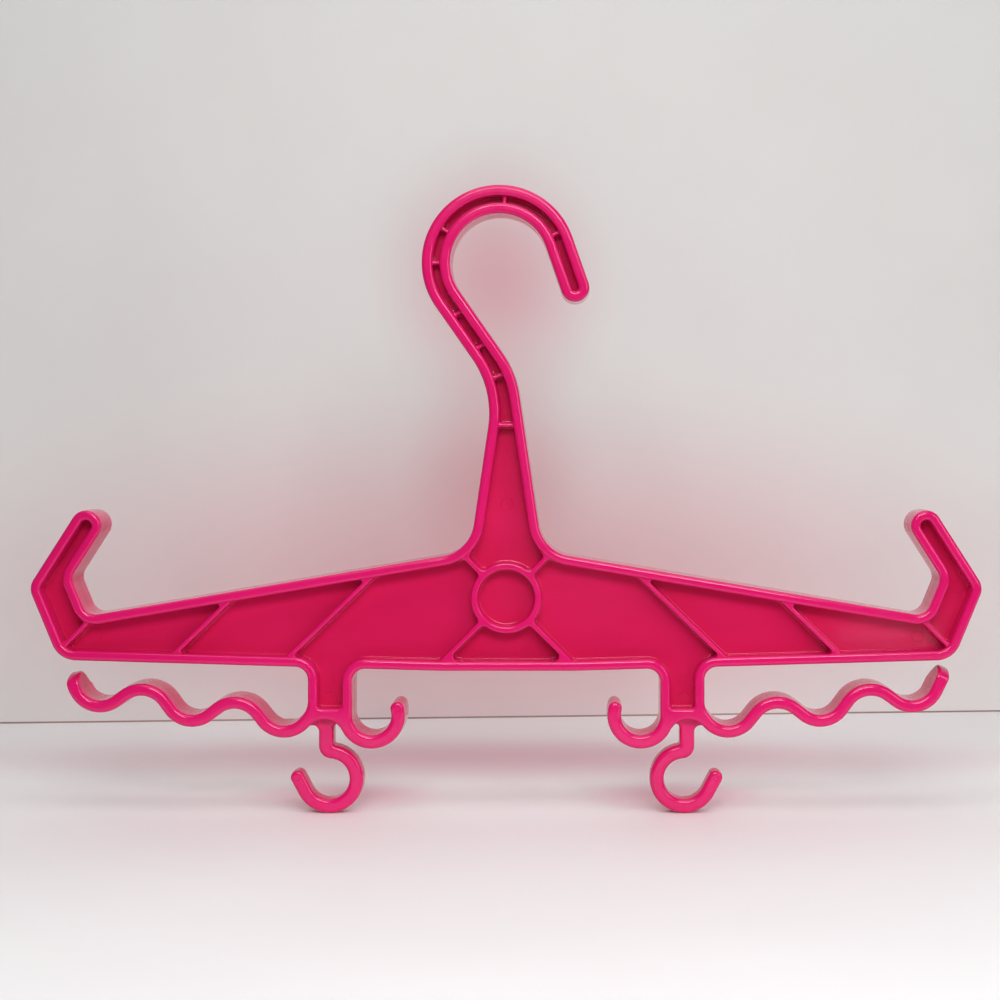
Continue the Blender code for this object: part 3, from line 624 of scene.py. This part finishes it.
def pocket():
    """The pocket's outline: the crook's rim is a little wider than the others."""
    half = half_corners(plain_foot_corners())
    crook = crook_corners()
    whole = crook + half + mirrored(half)[::-1]
    joined = inset(whole, CROOK_RIM)[:len(crook)] + inset(whole, RIM)[len(crook):]
    return rounded([(x, z, fillet, POCKET_EDGE) for x, z, fillet, _ in joined])


def even_edges(points):
    """Lets the edge rounding change gradually from the body to the hooks."""
    count = len(points)
    steps = [apart(points[i], points[i - 1]) for i in range(count)]
    smooth = []
    for i, (x, z, edge) in enumerate(points):
        total, weight = edge, 1.0
        for way in (1, -1):
            run, j = 0.0, i
            while True:
                run += steps[(j + 1) % count] if way > 0 else steps[j]
                j = (j + way) % count
                if run > EDGE_BLEND:
                    break
                share = 1 - run / EDGE_BLEND
                total += share * points[j][2]
                weight += share
        smooth.append((x, z, total / weight))
    return smooth


# Meshes


def inward(points):
    """How far each point moves for each metre that the outline moves inward."""
    way = turning(points)
    moves = []
    for i in range(len(points)):
        into, turn = headings(points, i)
        along = into + turn / 2 + way * pi / 2
        reach = 1 / max(cos(turn / 2), LEAST_MITRE)
        moves.append((reach * cos(along), reach * sin(along)))
    return moves


def ring(mesh, points, moves, offset, offset_share, level, level_share):
    """A ring of vertices, moved inward and at a level in Y, each with a share of the edge."""
    made = []
    for (x, z, edge), (dx, dz) in zip(points, moves):
        by = offset + offset_share * edge
        made.append(mesh.verts.new((x + by * dx, level + level_share * edge, z + by * dz)))
    return made


def join(mesh, rings):
    """Bands of faces between rings that follow each other."""
    for one, other in zip(rings, rings[1:]):
        for i in range(len(one)):
            mesh.faces.new((one[i - 1], one[i], other[i], other[i - 1]))


def fill(mesh, *loops):
    """A flat face inside the first loop of vertices, with the other loops as holes."""
    verts = [v for loop in loops for v in loop]
    for triangle in tessellate_polygon([[v.co for v in loop] for loop in loops]):
        mesh.faces.new([verts[i] for i in triangle])


def edge_profile(half, way):
    """Rings from the mid-plane over the rounded edge to the flat face."""
    rings = [(0.0, 0.0, way * PARTING_HALF, 0.0)]
    start = PARTING_HALF + SUPPORT
    for i in range(WALL_STEPS + 1):
        share = i / WALL_STEPS
        level = start + share * (half - SUPPORT - start)
        rings.append((share * DRAFT, 0.0, way * level, -way * share))
    rings += [(DRAFT, gone, way * half, -way * left) for gone, left in ROUND]
    return rings + [(DRAFT + SUPPORT, 1.0, way * half, 0.0)]


def pocket_profile(way):
    """Rings from the rim's face over its rounded inner edge and down to the web."""
    rings = [(-SUPPORT, -1.0, way * HALF_DEPTH, 0.0)]
    rings += [(0.0, -left, way * HALF_DEPTH, -way * gone) for gone, left in ROUND]
    rings.append((0.0, 0.0, way * (HALF_DEPTH - SUPPORT), -way))
    rings.append((DRAFT, 0.0, way * (HALF_WEB + WEB_FILLET + SUPPORT), 0.0))
    for gone, left in ROUND:
        rings.append((DRAFT + WEB_FILLET * gone, 0.0, way * (HALF_WEB + WEB_FILLET * left), 0.0))
    return rings + [(DRAFT + WEB_FILLET + SUPPORT, 0.0, way * HALF_WEB, 0.0)]


def pin_mark(mesh, centre, radius, level):
    """A shallow sunken disc in a front face. Returns its outer loop."""
    x, z = centre
    rows = (
        (radius + MARK_SLOPE + SUPPORT / 2, 0.0),
        (radius + MARK_SLOPE, 0.0),
        (radius + MARK_SLOPE / 2, MARK_DEPTH / 2),
        (radius, MARK_DEPTH),
        (radius - SUPPORT / 2, MARK_DEPTH),
    )
    turns = [2 * pi * i / MARK_STEPS for i in range(MARK_STEPS)]
    rings = [
        [mesh.verts.new((x + r * cos(t), down - level, z + r * sin(t))) for t in turns]
        for r, down in rows
    ]
    join(mesh, rings)
    fill(mesh, rings[-1])
    return rings[0]


def web_marks():
    """Place, radius and level of the pin marks in the web's front."""
    both = [(way * u, z) for u, z in WEB_MARKS for way in SIDES.values()]
    return [(place, WEB_MARK_RADIUS, HALF_WEB) for place in both + [NECK_MARK]]


def tip_marks():
    """Place, radius and level of the pin marks on the J hooks' tips."""
    return [((way * J_TIP[0], J_TIP[1]), TIP_MARK_RADIUS, HALF_DEPTH) for way in SIDES.values()]


def shell_mesh():
    """The whole moulding with the pockets in both faces, one closed surface."""
    work = bmesh.new()
    outline, hollow = silhouette(), pocket()
    outline_moves, hollow_moves = inward(outline), inward(hollow)
    middle = ring(work, outline, outline_moves, -PARTING_RISE, 0.0, 0.0, 0.0)
    for way in FACES.values():
        outer = [ring(work, outline, outline_moves, *row) for row in edge_profile(HALF_DEPTH, way)]
        inner = [ring(work, hollow, hollow_moves, *row) for row in pocket_profile(way)]
        join(work, [middle] + outer)
        join(work, inner)
        tips = [pin_mark(work, *row) for row in tip_marks()] if way < 0 else []
        webs = [pin_mark(work, *row) for row in web_marks()] if way < 0 else []
        fill(work, outer[-1], inner[0], *tips)
        fill(work, inner[-1], *webs)
    bmesh.ops.recalc_face_normals(work, faces=work.faces)
    return work


def along_tip(u, z, tip_angle):
    """How far a place, from the last trough's middle, lies along the bar and across it."""
    run = u * cos(tip_angle) + z * sin(tip_angle)
    if run < 0:
        return TROUGH_MIDDLE_RADIUS * wrapped(atan2(z, u) - tip_angle + pi / 2), hypot(u, z)
    return run, u * sin(tip_angle) - z * cos(tip_angle)


def place_on_tip(run, across, tip_angle):
    """The place, from the last trough's middle, so far along the bar and across it."""
    if run > 0:
        u = run * cos(tip_angle) + across * sin(tip_angle)
        return u, run * sin(tip_angle) - across * cos(tip_angle)
    return polar((0.0, 0.0), across, tip_angle - pi / 2 + run / TROUGH_MIDDLE_RADIUS)


def crown_tips(work):
    """Crowns the racks' tips: they are drawn back towards both faces, most at the back."""
    centre_u, centre_z = troughs()[-1]
    half_bar = RACK_BAR / 2 + TIP_MARGIN
    for side, way in SIDES.items():
        tip_angle, tip_length = RACK_TIPS[side]
        for vertex in work.verts:
            place = (way * vertex.co.x - centre_u, vertex.co.z - centre_z)
            run, across = along_tip(*place, tip_angle)
            depth = vertex.co.y / HALF_DEPTH
            crown, reach = FRONT_CROWN if depth < 0 else BACK_CROWN
            share = min(1.0, 1 + (run - tip_length) / reach)
            past_end = run > tip_length + half_bar
            if share <= 0 or past_end or abs(across - TROUGH_MIDDLE_RADIUS) > half_bar:
                continue
            bow = 1 - sqrt(max(0.0, 1 - depth**2)) if depth < 0 else min(1.0, depth) ** BACK_CROWN_POWER
            back = crown * share**2 * (3 - 2 * share) * bow
            u, z = place_on_tip(run - back, across, tip_angle)
            vertex.co.x, vertex.co.z = way * (centre_u + u), centre_z + z


def add_object(name, data):
    """A new object in the scene."""
    made = bpy.data.objects.new(name, data)
    bpy.context.scene.collection.objects.link(made)
    return made


def to_object(work, name):
    """A smooth-shaded piece whose sharp edges stay sharp."""
    mesh = bpy.data.meshes.new(name)
    work.to_mesh(mesh)
    work.free()
    mesh.shade_smooth()
    mesh.set_sharp_from_angle(angle=SHARP_ANGLE)
    return add_object(name, mesh)


def dress(piece, material, *nodes):
    """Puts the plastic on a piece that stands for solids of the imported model."""
    piece.data.materials.append(material)
    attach(piece, "root")
    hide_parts(*nodes)


def keep_reached(work, seed):
    """Drops what isn't joined to the vertex nearest the seed in (x, z)."""
    first = min(work.verts, key=lambda v: hypot(v.co.x - seed[0], v.co.z - seed[1]))
    reached, ends = {first}, [first]
    while ends:
        here = ends.pop()
        for line in here.link_edges:
            other = line.other_vert(here)
            if other not in reached:
                reached.add(other)
                ends.append(other)
    bmesh.ops.delete(work, geom=[v for v in work.verts if v not in reached], context="VERTS")


def cut_member(shell, name, seed, planes):
    """What lies ahead of every plane (point, way), as a closed piece of the moulding."""
    work = bmesh.new()
    work.from_mesh(shell)
    for (x, z), (way_x, way_z) in planes:
        cut = bmesh.ops.bisect_plane(
            work,
            geom=[*work.verts, *work.edges, *work.faces],
            dist=CUT_SNAP,
            plane_co=(x, 0.0, z),
            plane_no=(way_x, 0.0, way_z),
            clear_inner=True,
        )
        edges = [e for e in cut["geom_cut"] if isinstance(e, bmesh.types.BMEdge)]
        bmesh.ops.edgeloop_fill(work, edges=edges)
    keep_reached(work, seed)
    bmesh.ops.recalc_face_normals(work, faces=work.faces)
    return to_object(work, name)


def members():
    """Each member's seed and its parting planes (point, way into the member)."""
    up, down = (0.0, 1.0), (0.0, -1.0)
    neck, shoulder = (0.0, -NECK_TOP_DEPTH), (0.0, -NECK_BOTTOM_DEPTH)
    leg = (0.0, -LEG_START_DEPTH)
    j_in = polar(J_CENTRE, J_INNER_RADIUS, -J_ROOT_ANGLE / 2)
    j_out = polar(J_CENTRE, J_OUTER_RADIUS, -J_ROOT_ANGLE)
    j_way = bearing(j_in, j_out) + pi / 2
    rack_way = RACK_ROOT_ANGLE - pi / 2
    made = {
        "hook_crook": ((0.0, CROOK_WIDTH), [(neck, up)]),
        "neck": ((0.0, (neck[1] + shoulder[1]) / 2), [(neck, down), (shoulder, up)]),
    }
    centre = [(shoulder, down)]
    for side, way in SIDES.items():
        inner, outer = (way * CENTRE_HALF_WIDTH, 0.0), (way * PRONG_START_U, 0.0)
        out, back = (way, 0.0), (-way, 0.0)
        rack_at, j_at = (way * FIRST_TROUGH[0], FIRST_TROUGH[1]), (way * j_in[0], j_in[1])
        rack_on = (way * cos(rack_way), sin(rack_way))
        j_off = (way * cos(j_way), sin(j_way))
        rack_off, j_on = (-rack_on[0], -rack_on[1]), (-j_off[0], -j_off[1])
        leg_seed = (way * LEG_OUTER_U, (leg[1] + FIRST_TROUGH[1]) / 2)
        trough = polar(FIRST_TROUGH, TROUGH_OUTER_RADIUS, -pi / 2)
        j_low = polar(J_CENTRE, J_OUTER_RADIUS, -pi / 2)
        middle = way * (CENTRE_HALF_WIDTH + PRONG_START_U) / 2
        centre.append((inner, back))
        arm_seed = (middle, -ARM_PEAK_DEPTH - ARM_FALL / 2)
        made[f"{side}_arm"] = (arm_seed, [(inner, out), (outer, back), (leg, up)])
        made[f"{side}_prong"] = ((way * PRONG_BEND[0], PRONG_BEND[1]), [(outer, out)])
        made[f"{side}_leg"] = (leg_seed, [(leg, down), (rack_at, rack_off), (j_at, j_off)])
        made[f"{side}_hose_rack"] = ((way * trough[0], trough[1]), [(rack_at, rack_on)])
        made[f"{side}_j_hook"] = ((way * j_low[0], j_low[1]), [(j_at, j_on)])
    made["centre_panel"] = ((0.0, -BOTTOM_DEPTH), centre)
    return made


def rib_profile(way, top):
    """Rings from the web over a rib's base fillet and up to its rounded flat top."""
    rings = [(-RIB_DRAFT - RIB_BASE_FILLET, 0.0, way * (HALF_WEB - EMBED), 0.0)]
    for gone, left in ROUND:
        level = way * (HALF_WEB + RIB_BASE_FILLET * gone)
        rings.append((-RIB_DRAFT - RIB_BASE_FILLET * left, 0.0, level, 0.0))
    for gone, left in ROUND:
        rings.append((RIB_TOP_ROUND * gone, 0.0, way * (top - RIB_TOP_ROUND * left), 0.0))
    return rings + [(RIB_TOP_ROUND + SUPPORT, 0.0, way * top, 0.0)]


def raised(work, way, top, outline, hole=None):
    """A closed block standing on the web, with a hole through it if one is given."""
    loops = []
    for points, sign in ((outline, 1), (hole, -1)):
        if points is None:
            continue
        points = [(x, z, 0.0) for x, z, *_ in points]
        moves = [(sign * dx, sign * dz) for dx, dz in inward(points)]
        rings = [ring(work, points, moves, *row) for row in rib_profile(way, top)]
        join(work, rings)
        loops.append(rings)
    fill(work, *(rings[0] for rings in loops))
    fill(work, *(rings[-1] for rings in loops))
    bmesh.ops.recalc_face_normals(work, faces=work.faces)


def wall_ahead(walls, start, angle):
    """Where a ray first meets the pocket's outline, and the wall's direction there."""
    met = []
    dx, dz = cos(angle), sin(angle)
    for a, b in zip(walls, walls[1:] + walls[:1]):
        ex, ez = b[0] - a[0], b[1] - a[1]
        size = dx * ez - dz * ex
        if size == 0:
            continue
        along = ((a[0] - start[0]) * ez - (a[1] - start[1]) * ex) / size
        share = ((a[0] - start[0]) * dz - (a[1] - start[1]) * dx) / size
        if along > 0 and 0 <= share <= 1:
            met.append((along, atan2(ez, ex)))
    along, wall = min(met, key=lambda row: row[0])
    return polar(start, along, angle), wall


def wall_end(point, wall, angle, half, fillet):
    """The corners of a rib's end that flares into a wall, right side first."""
    foot = polar(point, EMBED, angle)
    right = crossing(polar(foot, half, angle - pi / 2), angle, foot, wall)
    left = crossing(polar(foot, half, angle + pi / 2), angle, foot, wall)
    way = wall if cos(wall - angle - pi / 2) > 0 else wall + pi
    lean = abs(wrapped(way - angle))
    right_reach = fillet / tan(lean / 2) + FLANGE
    left_reach = fillet * tan(lean / 2) + FLANGE
    right_end, left_end = polar(right, -right_reach, way), polar(left, left_reach, way)
    return [
        corner(right, fillet),
        corner(right_end),
        corner(polar(right_end, SINK, angle)),
        corner(polar(left_end, SINK, angle)),
        corner(left_end),
        corner(left, fillet),
    ]


def rib_outline(walls, middle, slope, thickness):
    """A bar across the pocket whose ends flare into the walls."""
    corners = []
    for angle in (slope, slope + pi):
        point, wall = wall_ahead(walls, middle, angle)
        corners += wall_end(point, wall, angle, thickness / 2, RIB_FILLET)
    return rounded(corners)


def spoke_outline(walls, angle):
    """A bar from the boss ring to the wall, flaring at both ends."""
    point, wall = wall_ahead(walls, polar(BOSS_CENTRE, BOSS_OUTER_RADIUS, angle), angle)
    fillet_radius = BOSS_OUTER_RADIUS + SPOKE_FILLET
    spread = asin((SPOKE / 2 + SPOKE_FILLET) / fillet_radius)
    flared = [corner(BOSS_CENTRE)] + wall_end(point, wall, angle, SPOKE / 2, SPOKE_FILLET)
    low = polar(BOSS_CENTRE, fillet_radius, angle - spread)
    high = polar(BOSS_CENTRE, fillet_radius, angle + spread)
    sunk = BOSS_OUTER_RADIUS - RING_SINK
    return (
        [(x, z) for x, z, _ in rounded(flared)[1:]]
        + arc(high, SPOKE_FILLET, angle - pi / 2, angle + spread - pi)
        + arc(BOSS_CENTRE, sunk, angle + spread, angle - spread)
        + arc(low, SPOKE_FILLET, angle - spread + pi, angle + pi / 2)
    )


def crook_places():
    """The middle and slope of each rib across the crook's groove."""
    places = [(polar(CROOK_CENTRE, CROOK_MIDDLE_RADIUS, angle), angle) for angle in CROOK_RIB_ANGLES]
    for i in range(STEM_RIB_COUNT):
        along = STEM_RIB_FIRST + i * STEM_RIB_SPACING
        places.append((polar(STEM_START, along, STEM_ANGLE + pi / 2), STEM_ANGLE))
    places.append(((BEND_RIB_X, BEND_RIB_RISE - NECK_TOP_DEPTH), BEND_RIB_LEAN))
    return places


def arm_rib_places():
    """The name, middle and fall of each rib across an arm and its prong's corner, in u."""
    places = []
    for number in range(ARM_RIB_COUNT):
        top = PRONG_BEND_U * (ARM_RIB_FIRST_SHARE + number * ARM_RIB_SPACING_SHARE)
        start = crossing((0.0, -ARM_PEAK_DEPTH - RIM), -ARM_SLOPE, (top, 0.0), pi / 2)
        middle = polar(start, PANEL_HEIGHT / 2, -ARM_RIB_SLOPE)
        places.append((f"arm_rib_{number + 1}", middle, ARM_RIB_SLOPE))
    bend = [a + (b - a) * CORNER_RIB_SHARE for a, b in zip(PRONG_ROOT, PRONG_HEEL)]
    return places + [("corner_rib", bend, CORNER_RIB_SLOPE)]


def rib_outlines(walls):
    """Each rib's outline and how far its top lies below the rim."""
    made = {}
    for number, (middle, slope) in enumerate(crook_places(), 1):
        outline = rib_outline(walls, middle, slope, CROOK_RIB)
        made[f"crook_rib_{number}"] = (outline, CROOK_RIB_RECESS)
    neck = (0.0, -NECK_TOP_DEPTH - NECK_RIB_DROP)
    made["neck_rib"] = (rib_outline(walls, neck, 0.0, CROOK_RIB), ARM_RIB_RECESS)
    for side, way in SIDES.items():
        for name, (u, z), slope in arm_rib_places():
            outline = rib_outline(walls, (way * u, z), -way * slope, ARM_RIB)
            made[f"{side}_{name}"] = (outline, ARM_RIB_RECESS)
        for level, rise in (("upper", 1), ("lower", -1)):
            angle = rise * SPOKE_ANGLE if way > 0 else pi - rise * SPOKE_ANGLE
            made[f"{side}_{level}_spoke"] = (spoke_outline(walls, angle), BOSS_RECESS)
    return made


def root_flare(stem_u, fillet, centre, radius):
    """The arc from the drop hook's stem to a round bar, and a point sunk in that bar."""
    way = 1 if centre[0] > stem_u else -1
    middle_u = stem_u + way * fillet
    drop = sqrt((radius + fillet) ** 2 - (middle_u - centre[0]) ** 2)
    middle = (middle_u, centre[1] - drop)
    lean = bearing(middle, centre)
    sunk = polar(middle, fillet + ROOT_SINK, lean)
    return [sunk] + arc(middle, fillet, lean, pi) if way > 0 else arc(middle, fillet, 0.0, lean) + [sunk]


def drop_hook_outline():
    """The drop hook in u, its root flaring into the arch under the leg."""
    inner, outer = DROP_INNER_RADIUS, DROP_OUTER_RADIUS
    stem_in, stem_out = DROP_STEM_U - DROP_STEM_HALF, DROP_STEM_U + DROP_STEM_HALF
    roots = [bearing(DOME_CENTRE, place) for place in (J_ROOT_LOW, RACK_ROOT_LOW)]
    bend = polar(DROP_CENTRE, inner, DROP_BEND_START)
    bend_corner = crossing(bend, DROP_BEND_START + pi / 2, (stem_out, 0.0), pi / 2)
    meet = acos((stem_in - DROP_CENTRE[0]) / outer)
    return rounded(
        sharp(arc(DOME_CENTRE, DOME_RADIUS + ROOT_SINK, *roots), HOOK_EDGE)
        + sharp(root_flare(stem_out, DROP_OUTER_FILLET, FIRST_TROUGH, TROUGH_OUTER_RADIUS), HOOK_EDGE)
        + [corner(bend_corner, DROP_BEND_ROUND, HOOK_EDGE)]
        + sharp(arc(DROP_CENTRE, inner, DROP_BEND_START, DROP_END + 2 * pi), HOOK_EDGE)
        + sharp(arc(DROP_TIP, DROP_BAR / 2, DROP_END + pi, DROP_END), HOOK_TIP_EDGE)
        + sharp(arc(DROP_CENTRE, outer, DROP_END + 2 * pi, meet)[:-1], HOOK_EDGE)
        + [corner(polar(DROP_CENTRE, outer, meet), DROP_STEM_ROUND, HOOK_EDGE)]
        + sharp(root_flare(stem_in, DROP_INNER_FILLET, J_CENTRE, J_OUTER_RADIUS), HOOK_EDGE)
    )


def bar_work(outline, half, mark):
    """A bar of even depth centred on Y = 0, rounded at its edges, a pin mark in front."""
    work = bmesh.new()
    moves = inward(outline)
    middle = ring(work, outline, moves, -PARTING_RISE, 0.0, 0.0, 0.0)
    for way in FACES.values():
        rings = [ring(work, outline, moves, *row) for row in edge_profile(half, way)]
        join(work, [middle] + rings)
        sunk = [pin_mark(work, *mark)] if way < 0 else []
        fill(work, rings[-1], *sunk)
    bmesh.ops.recalc_face_normals(work, faces=work.faces)
    return work


# Materials


def feed(tree, target, inputs):
    """Sets a shader node's inputs, or links them to the outputs given."""
    for key, value in inputs.items():
        if isinstance(value, bpy.types.NodeSocket):
            tree.links.new(value, target.inputs[key])
        else:
            target.inputs[key].default_value = value


def node(tree, kind, inputs, **settings):
    """A new shader node with these settings and inputs."""
    made = tree.nodes.new(kind)
    for key, value in settings.items():
        setattr(made, key, value)
    feed(tree, made, inputs)
    return made


def noise(tree, where, settings):
    """Noise over a place, from a row of noise settings."""
    inputs = dict(zip(("Scale", "Detail", "Roughness", "Distortion"), settings))
    return node(tree, "ShaderNodeTexNoise", {"Vector": where, **inputs}).outputs["Fac"]


def spread(tree, value, ends, new_ends):
    """The value moved from one range to another."""
    names = ("Value", "From Min", "From Max", "To Min", "To Max")
    inputs = dict(zip(names, (value, *ends, *new_ends)))
    return node(tree, "ShaderNodeMapRange", inputs).outputs["Result"]


def blend(tree, share, one, other, kind="MIX"):
    """From one colour to the other, or to both multiplied, by a share."""
    inputs = {MIX_SHARE: share, MIX_FIRST: one, MIX_SECOND: other}
    return node(tree, "ShaderNodeMix", inputs, data_type="RGBA", blend_type=kind).outputs[MIX_RESULT]


def new_material(name):
    """A material with its node tree, its shader and the place on the object."""
    material = bpy.data.materials.new(name)
    material.use_nodes = True
    tree = material.node_tree
    where = node(tree, "ShaderNodeTexCoord", {}).outputs["Object"]
    return material, tree, tree.nodes["Principled BSDF"], where


def plastic_colour(tree, where, stretched):
    """Clouded pink with fine specks, and painted shade that turns it a deeper red near the mid-plane,
    down in the pockets.
    """
    clouds = spread(tree, noise(tree, stretched, CLOUD_NOISE), NOISE_ENDS, (0.0, 1.0))
    colour = blend(tree, clouds, PINK_DEEP, PINK_LIGHT)
    specks = spread(tree, noise(tree, where, SPECK_NOISE), SPECK_ENDS, (0.0, SPECK_MOST))
    colour = blend(tree, specks, colour, PINK_SPECK)
    parts = node(tree, "ShaderNodeSeparateXYZ", {"Vector": where})
    depth = node(tree, "ShaderNodeMath", {"Value": parts.outputs["Y"]}, operation="ABSOLUTE")
    # Painted shade, strongest at the webs and fading out towards the rims
    recess_shade = spread(tree, depth.outputs["Value"], (HALF_WEB, RECESS_SHADE_END), (1.0, 0.0))
    return blend(tree, recess_shade, colour, PINK_RECESS_SHADE, "MULTIPLY")


def moulded_plastic():
    """Glossy pink plastic with faint flow clouds, satin patches and a fine skin."""
    material, tree, shader, where = new_material("pink_moulded_plastic")
    stretch = node(tree, "ShaderNodeMapping", {"Vector": where, "Scale": FLOW_STRETCH})
    stretched = stretch.outputs["Vector"]
    flow = node(tree, "ShaderNodeBump", {
        "Strength": FLOW_STRENGTH,
        "Distance": FLOW_HEIGHT,
        "Height": noise(tree, stretched, FLOW_NOISE),
    })
    peel = node(tree, "ShaderNodeBump", {
        "Strength": PEEL_STRENGTH,
        "Distance": PEEL_HEIGHT,
        "Height": noise(tree, where, PEEL_NOISE),
        "Normal": flow.outputs["Normal"],
    })
    feed(tree, shader, {
        "Base Color": plastic_colour(tree, where, stretched),
        "Roughness": spread(tree, noise(tree, where, SATIN_NOISE), NOISE_ENDS, PINK_ROUGHNESS),
        "Normal": peel.outputs["Normal"],
        "IOR": PINK_IOR,
        "Specular Tint": PINK_SHEEN,
    })
    return material


# Share of one patch of painted shadow and pink bounce light, easing outward from its centre
def painted_shade_share(tree, where, centre, reach):
    """1 at a place, easing to 0 at the edge of an ellipsoid round it."""
    place = node(tree, "ShaderNodeMapping", {
        "Vector": where,
        "Location": [-c / r for c, r in zip(centre, reach)],
        "Scale": [1 / r for r in reach],
    }).outputs["Vector"]
    fall = node(tree, "ShaderNodeTexGradient", {"Vector": place}, gradient_type="SPHERICAL")
    inputs = {"Value": fall.outputs["Fac"]}
    return node(tree, "ShaderNodeMapRange", inputs, interpolation_type="SMOOTHSTEP").outputs["Result"]


def pale_surface(name, light, dark, roughness, painted_shade=()):
    """A pale surface with a faint mottle, and painted shadow and painted pink bounce light from the
    hanger on it.
    """
    material, tree, shader, where = new_material(name)
    mottle = spread(tree, noise(tree, where, MOTTLE_NOISE), NOISE_ENDS, (0.0, 1.0))
    colour = blend(tree, mottle, dark, light)
    # Painted shadow and pink bounce light from the hanger, patch by patch
    for centre, reach, tint in painted_shade:
        colour = blend(tree, painted_shade_share(tree, where, centre, reach), colour, tint, "MULTIPLY")
    swing = (roughness - ROUGHNESS_SWING, roughness + ROUGHNESS_SWING)
    grain = spread(tree, noise(tree, where, GRAIN_NOISE), NOISE_ENDS, swing)
    feed(tree, shader, {"Base Color": colour, "Roughness": grain})
    return material


# Room


def stage_sheet(name, corners, material):
    """One flat face of the room."""
    mesh = bpy.data.meshes.new(name)
    mesh.from_pydata(corners, [], [list(range(len(corners)))])
    mesh.materials.append(material)
    sheet = add_object(name, mesh)


def add_lamp(name, place, size, power, glossy):
    """A rectangular lamp that is aimed at the hanger."""
    data = bpy.data.lights.new(name, "AREA")
    data.shape = "RECTANGLE"
    data.size, data.size_y = size
    data.energy = power
    lamp = add_object(name, data)
    lamp.location = place
    way = Vector(LAMP_TARGET) - Vector(place)
    lamp.rotation_euler = way.to_track_quat("-Z", "Y").to_euler()
    lamp.visible_glossy = glossy


def make_room():
    """The table, the slightly turned wall, and the dark strip between them: the board edge's colour,
    darkened as painted shade of the gap.
    """
    table = pale_surface("pale_table", TABLE_LIGHT, TABLE_DARK, TABLE_ROUGHNESS, TABLE_PAINTED_SHADE)
    paint = pale_surface("pale_wall", WALL_LIGHT, WALL_DARK, WALL_ROUGHNESS, WALL_PAINTED_SHADE)
    shade = pale_surface("board_edge_and_gap_shade", EDGE_AND_GAP_SHADE_LIGHT, EDGE_AND_GAP_SHADE_DARK, WALL_ROUGHNESS)
    wall_y = WALL_GAP - HALF_DEPTH
    slant = ROOM_REACH * tan(WALL_TURN)
    left, right = (-ROOM_REACH, wall_y - slant), (ROOM_REACH, wall_y + slant)
    low, high = FLOOR_Z + WALL_LIFT, FLOOR_Z + ROOM_REACH
    near_left = (-ROOM_REACH, -TABLE_FRONT, FLOOR_Z)
    near_right = (ROOM_REACH, -TABLE_FRONT, FLOOR_Z)
    stage_sheet("table", [near_left, near_right, (*right, FLOOR_Z), (*left, FLOOR_Z)], table)
    stage_sheet("wall", [(*left, low), (*right, low), (*right, high), (*left, high)], paint)
    # A dark strip that paints the board edge and the shade in the gap under the wall
    stage_sheet("joint", [(*left, FLOOR_Z), (*right, FLOOR_Z), (*right, low), (*left, low)], shade)


def make_lights():
    """The lamps and a faint, even world."""
    for row in LAMPS:
        add_lamp(*row)
    world = bpy.data.worlds.new("studio")
    world.use_nodes = True
    background = world.node_tree.nodes["Background"]
    background.inputs["Color"].default_value = WORLD_COLOUR
    background.inputs["Strength"].default_value = WORLD_STRENGTH
    bpy.context.scene.world = world


def make_camera():
    """The photograph's camera, level and square on, shifted to its frame."""
    data = bpy.data.cameras.new("photo_view")
    data.sensor_width = SENSOR
    data.lens = SENSOR * CAMERA_DISTANCE / METRES_PER_PIXEL / IMAGE_SIDE
    data.shift_x = (IMAGE_SIDE / 2 - AXIS_PIXEL[0]) / IMAGE_SIDE
    data.shift_y = (AXIS_PIXEL[1] - IMAGE_SIDE / 2) / IMAGE_SIDE
    camera = add_object("photo_view", data)
    camera.location = (
        (AXIS_PIXEL[0] - ORIGIN_PIXEL[0]) * METRES_PER_PIXEL,
        -HALF_DEPTH - CAMERA_DISTANCE,
        (ORIGIN_PIXEL[1] - AXIS_PIXEL[1]) * METRES_PER_PIXEL,
    )
    camera.rotation_euler = (pi / 2, 0.0, 0.0)
    bpy.context.scene.camera = camera
    bpy.context.scene.view_settings.view_transform = "Standard"


def make_members(plastic):
    """The moulding in one shell, cut into its members."""
    work = shell_mesh()
    crown_tips(work)
    shell = bpy.data.meshes.new("shell")
    work.to_mesh(shell)
    work.free()
    for name, (seed, planes) in members().items():
        dress(cut_member(shell, f"{name}_moulding", seed, planes), plastic, name)
    bpy.data.meshes.remove(shell)


def make_raised(plastic, name, recess, *outlines):
    """A rib or ring on each face of the web, its top below the rim by the recess."""
    for face, way in FACES.items():
        work = bmesh.new()
        raised(work, way, HALF_DEPTH - recess, *outlines)
        dress(to_object(work, f"{name}_{face}_moulding"), plastic, f"{name}_{face}")


def make_ribs(plastic):
    """The ribs, the spokes and the boss ring in the pockets."""
    walls = [(x, z) for x, z, _ in pocket()]
    for name, (outline, recess) in rib_outlines(walls).items():
        make_raised(plastic, name, recess, outline)
    rings = [arc(BOSS_CENTRE, r, 0.0, 2 * pi)[:-1] for r in (BOSS_OUTER_RADIUS, BOSS_INNER_RADIUS)]
    make_raised(plastic, "boss_ring", BOSS_RECESS, *rings)


def make_drop_hooks(plastic):
    """The two thin hooks under the legs."""
    for side, way in SIDES.items():
        outline = [(way * u, z, edge) for u, z, edge in drop_hook_outline()]
        mark = ((way * DROP_TIP[0], DROP_TIP[1]), TIP_MARK_RADIUS, DROP_HALF_DEPTH)
        work = bar_work(outline, DROP_HALF_DEPTH, mark)
        dress(to_object(work, f"{side}_drop_hook_moulding"), plastic, f"{side}_drop_hook")


make_room()
make_lights()
make_camera()
pink_plastic = moulded_plastic()
make_members(pink_plastic)
make_ribs(pink_plastic)
make_drop_hooks(pink_plastic)
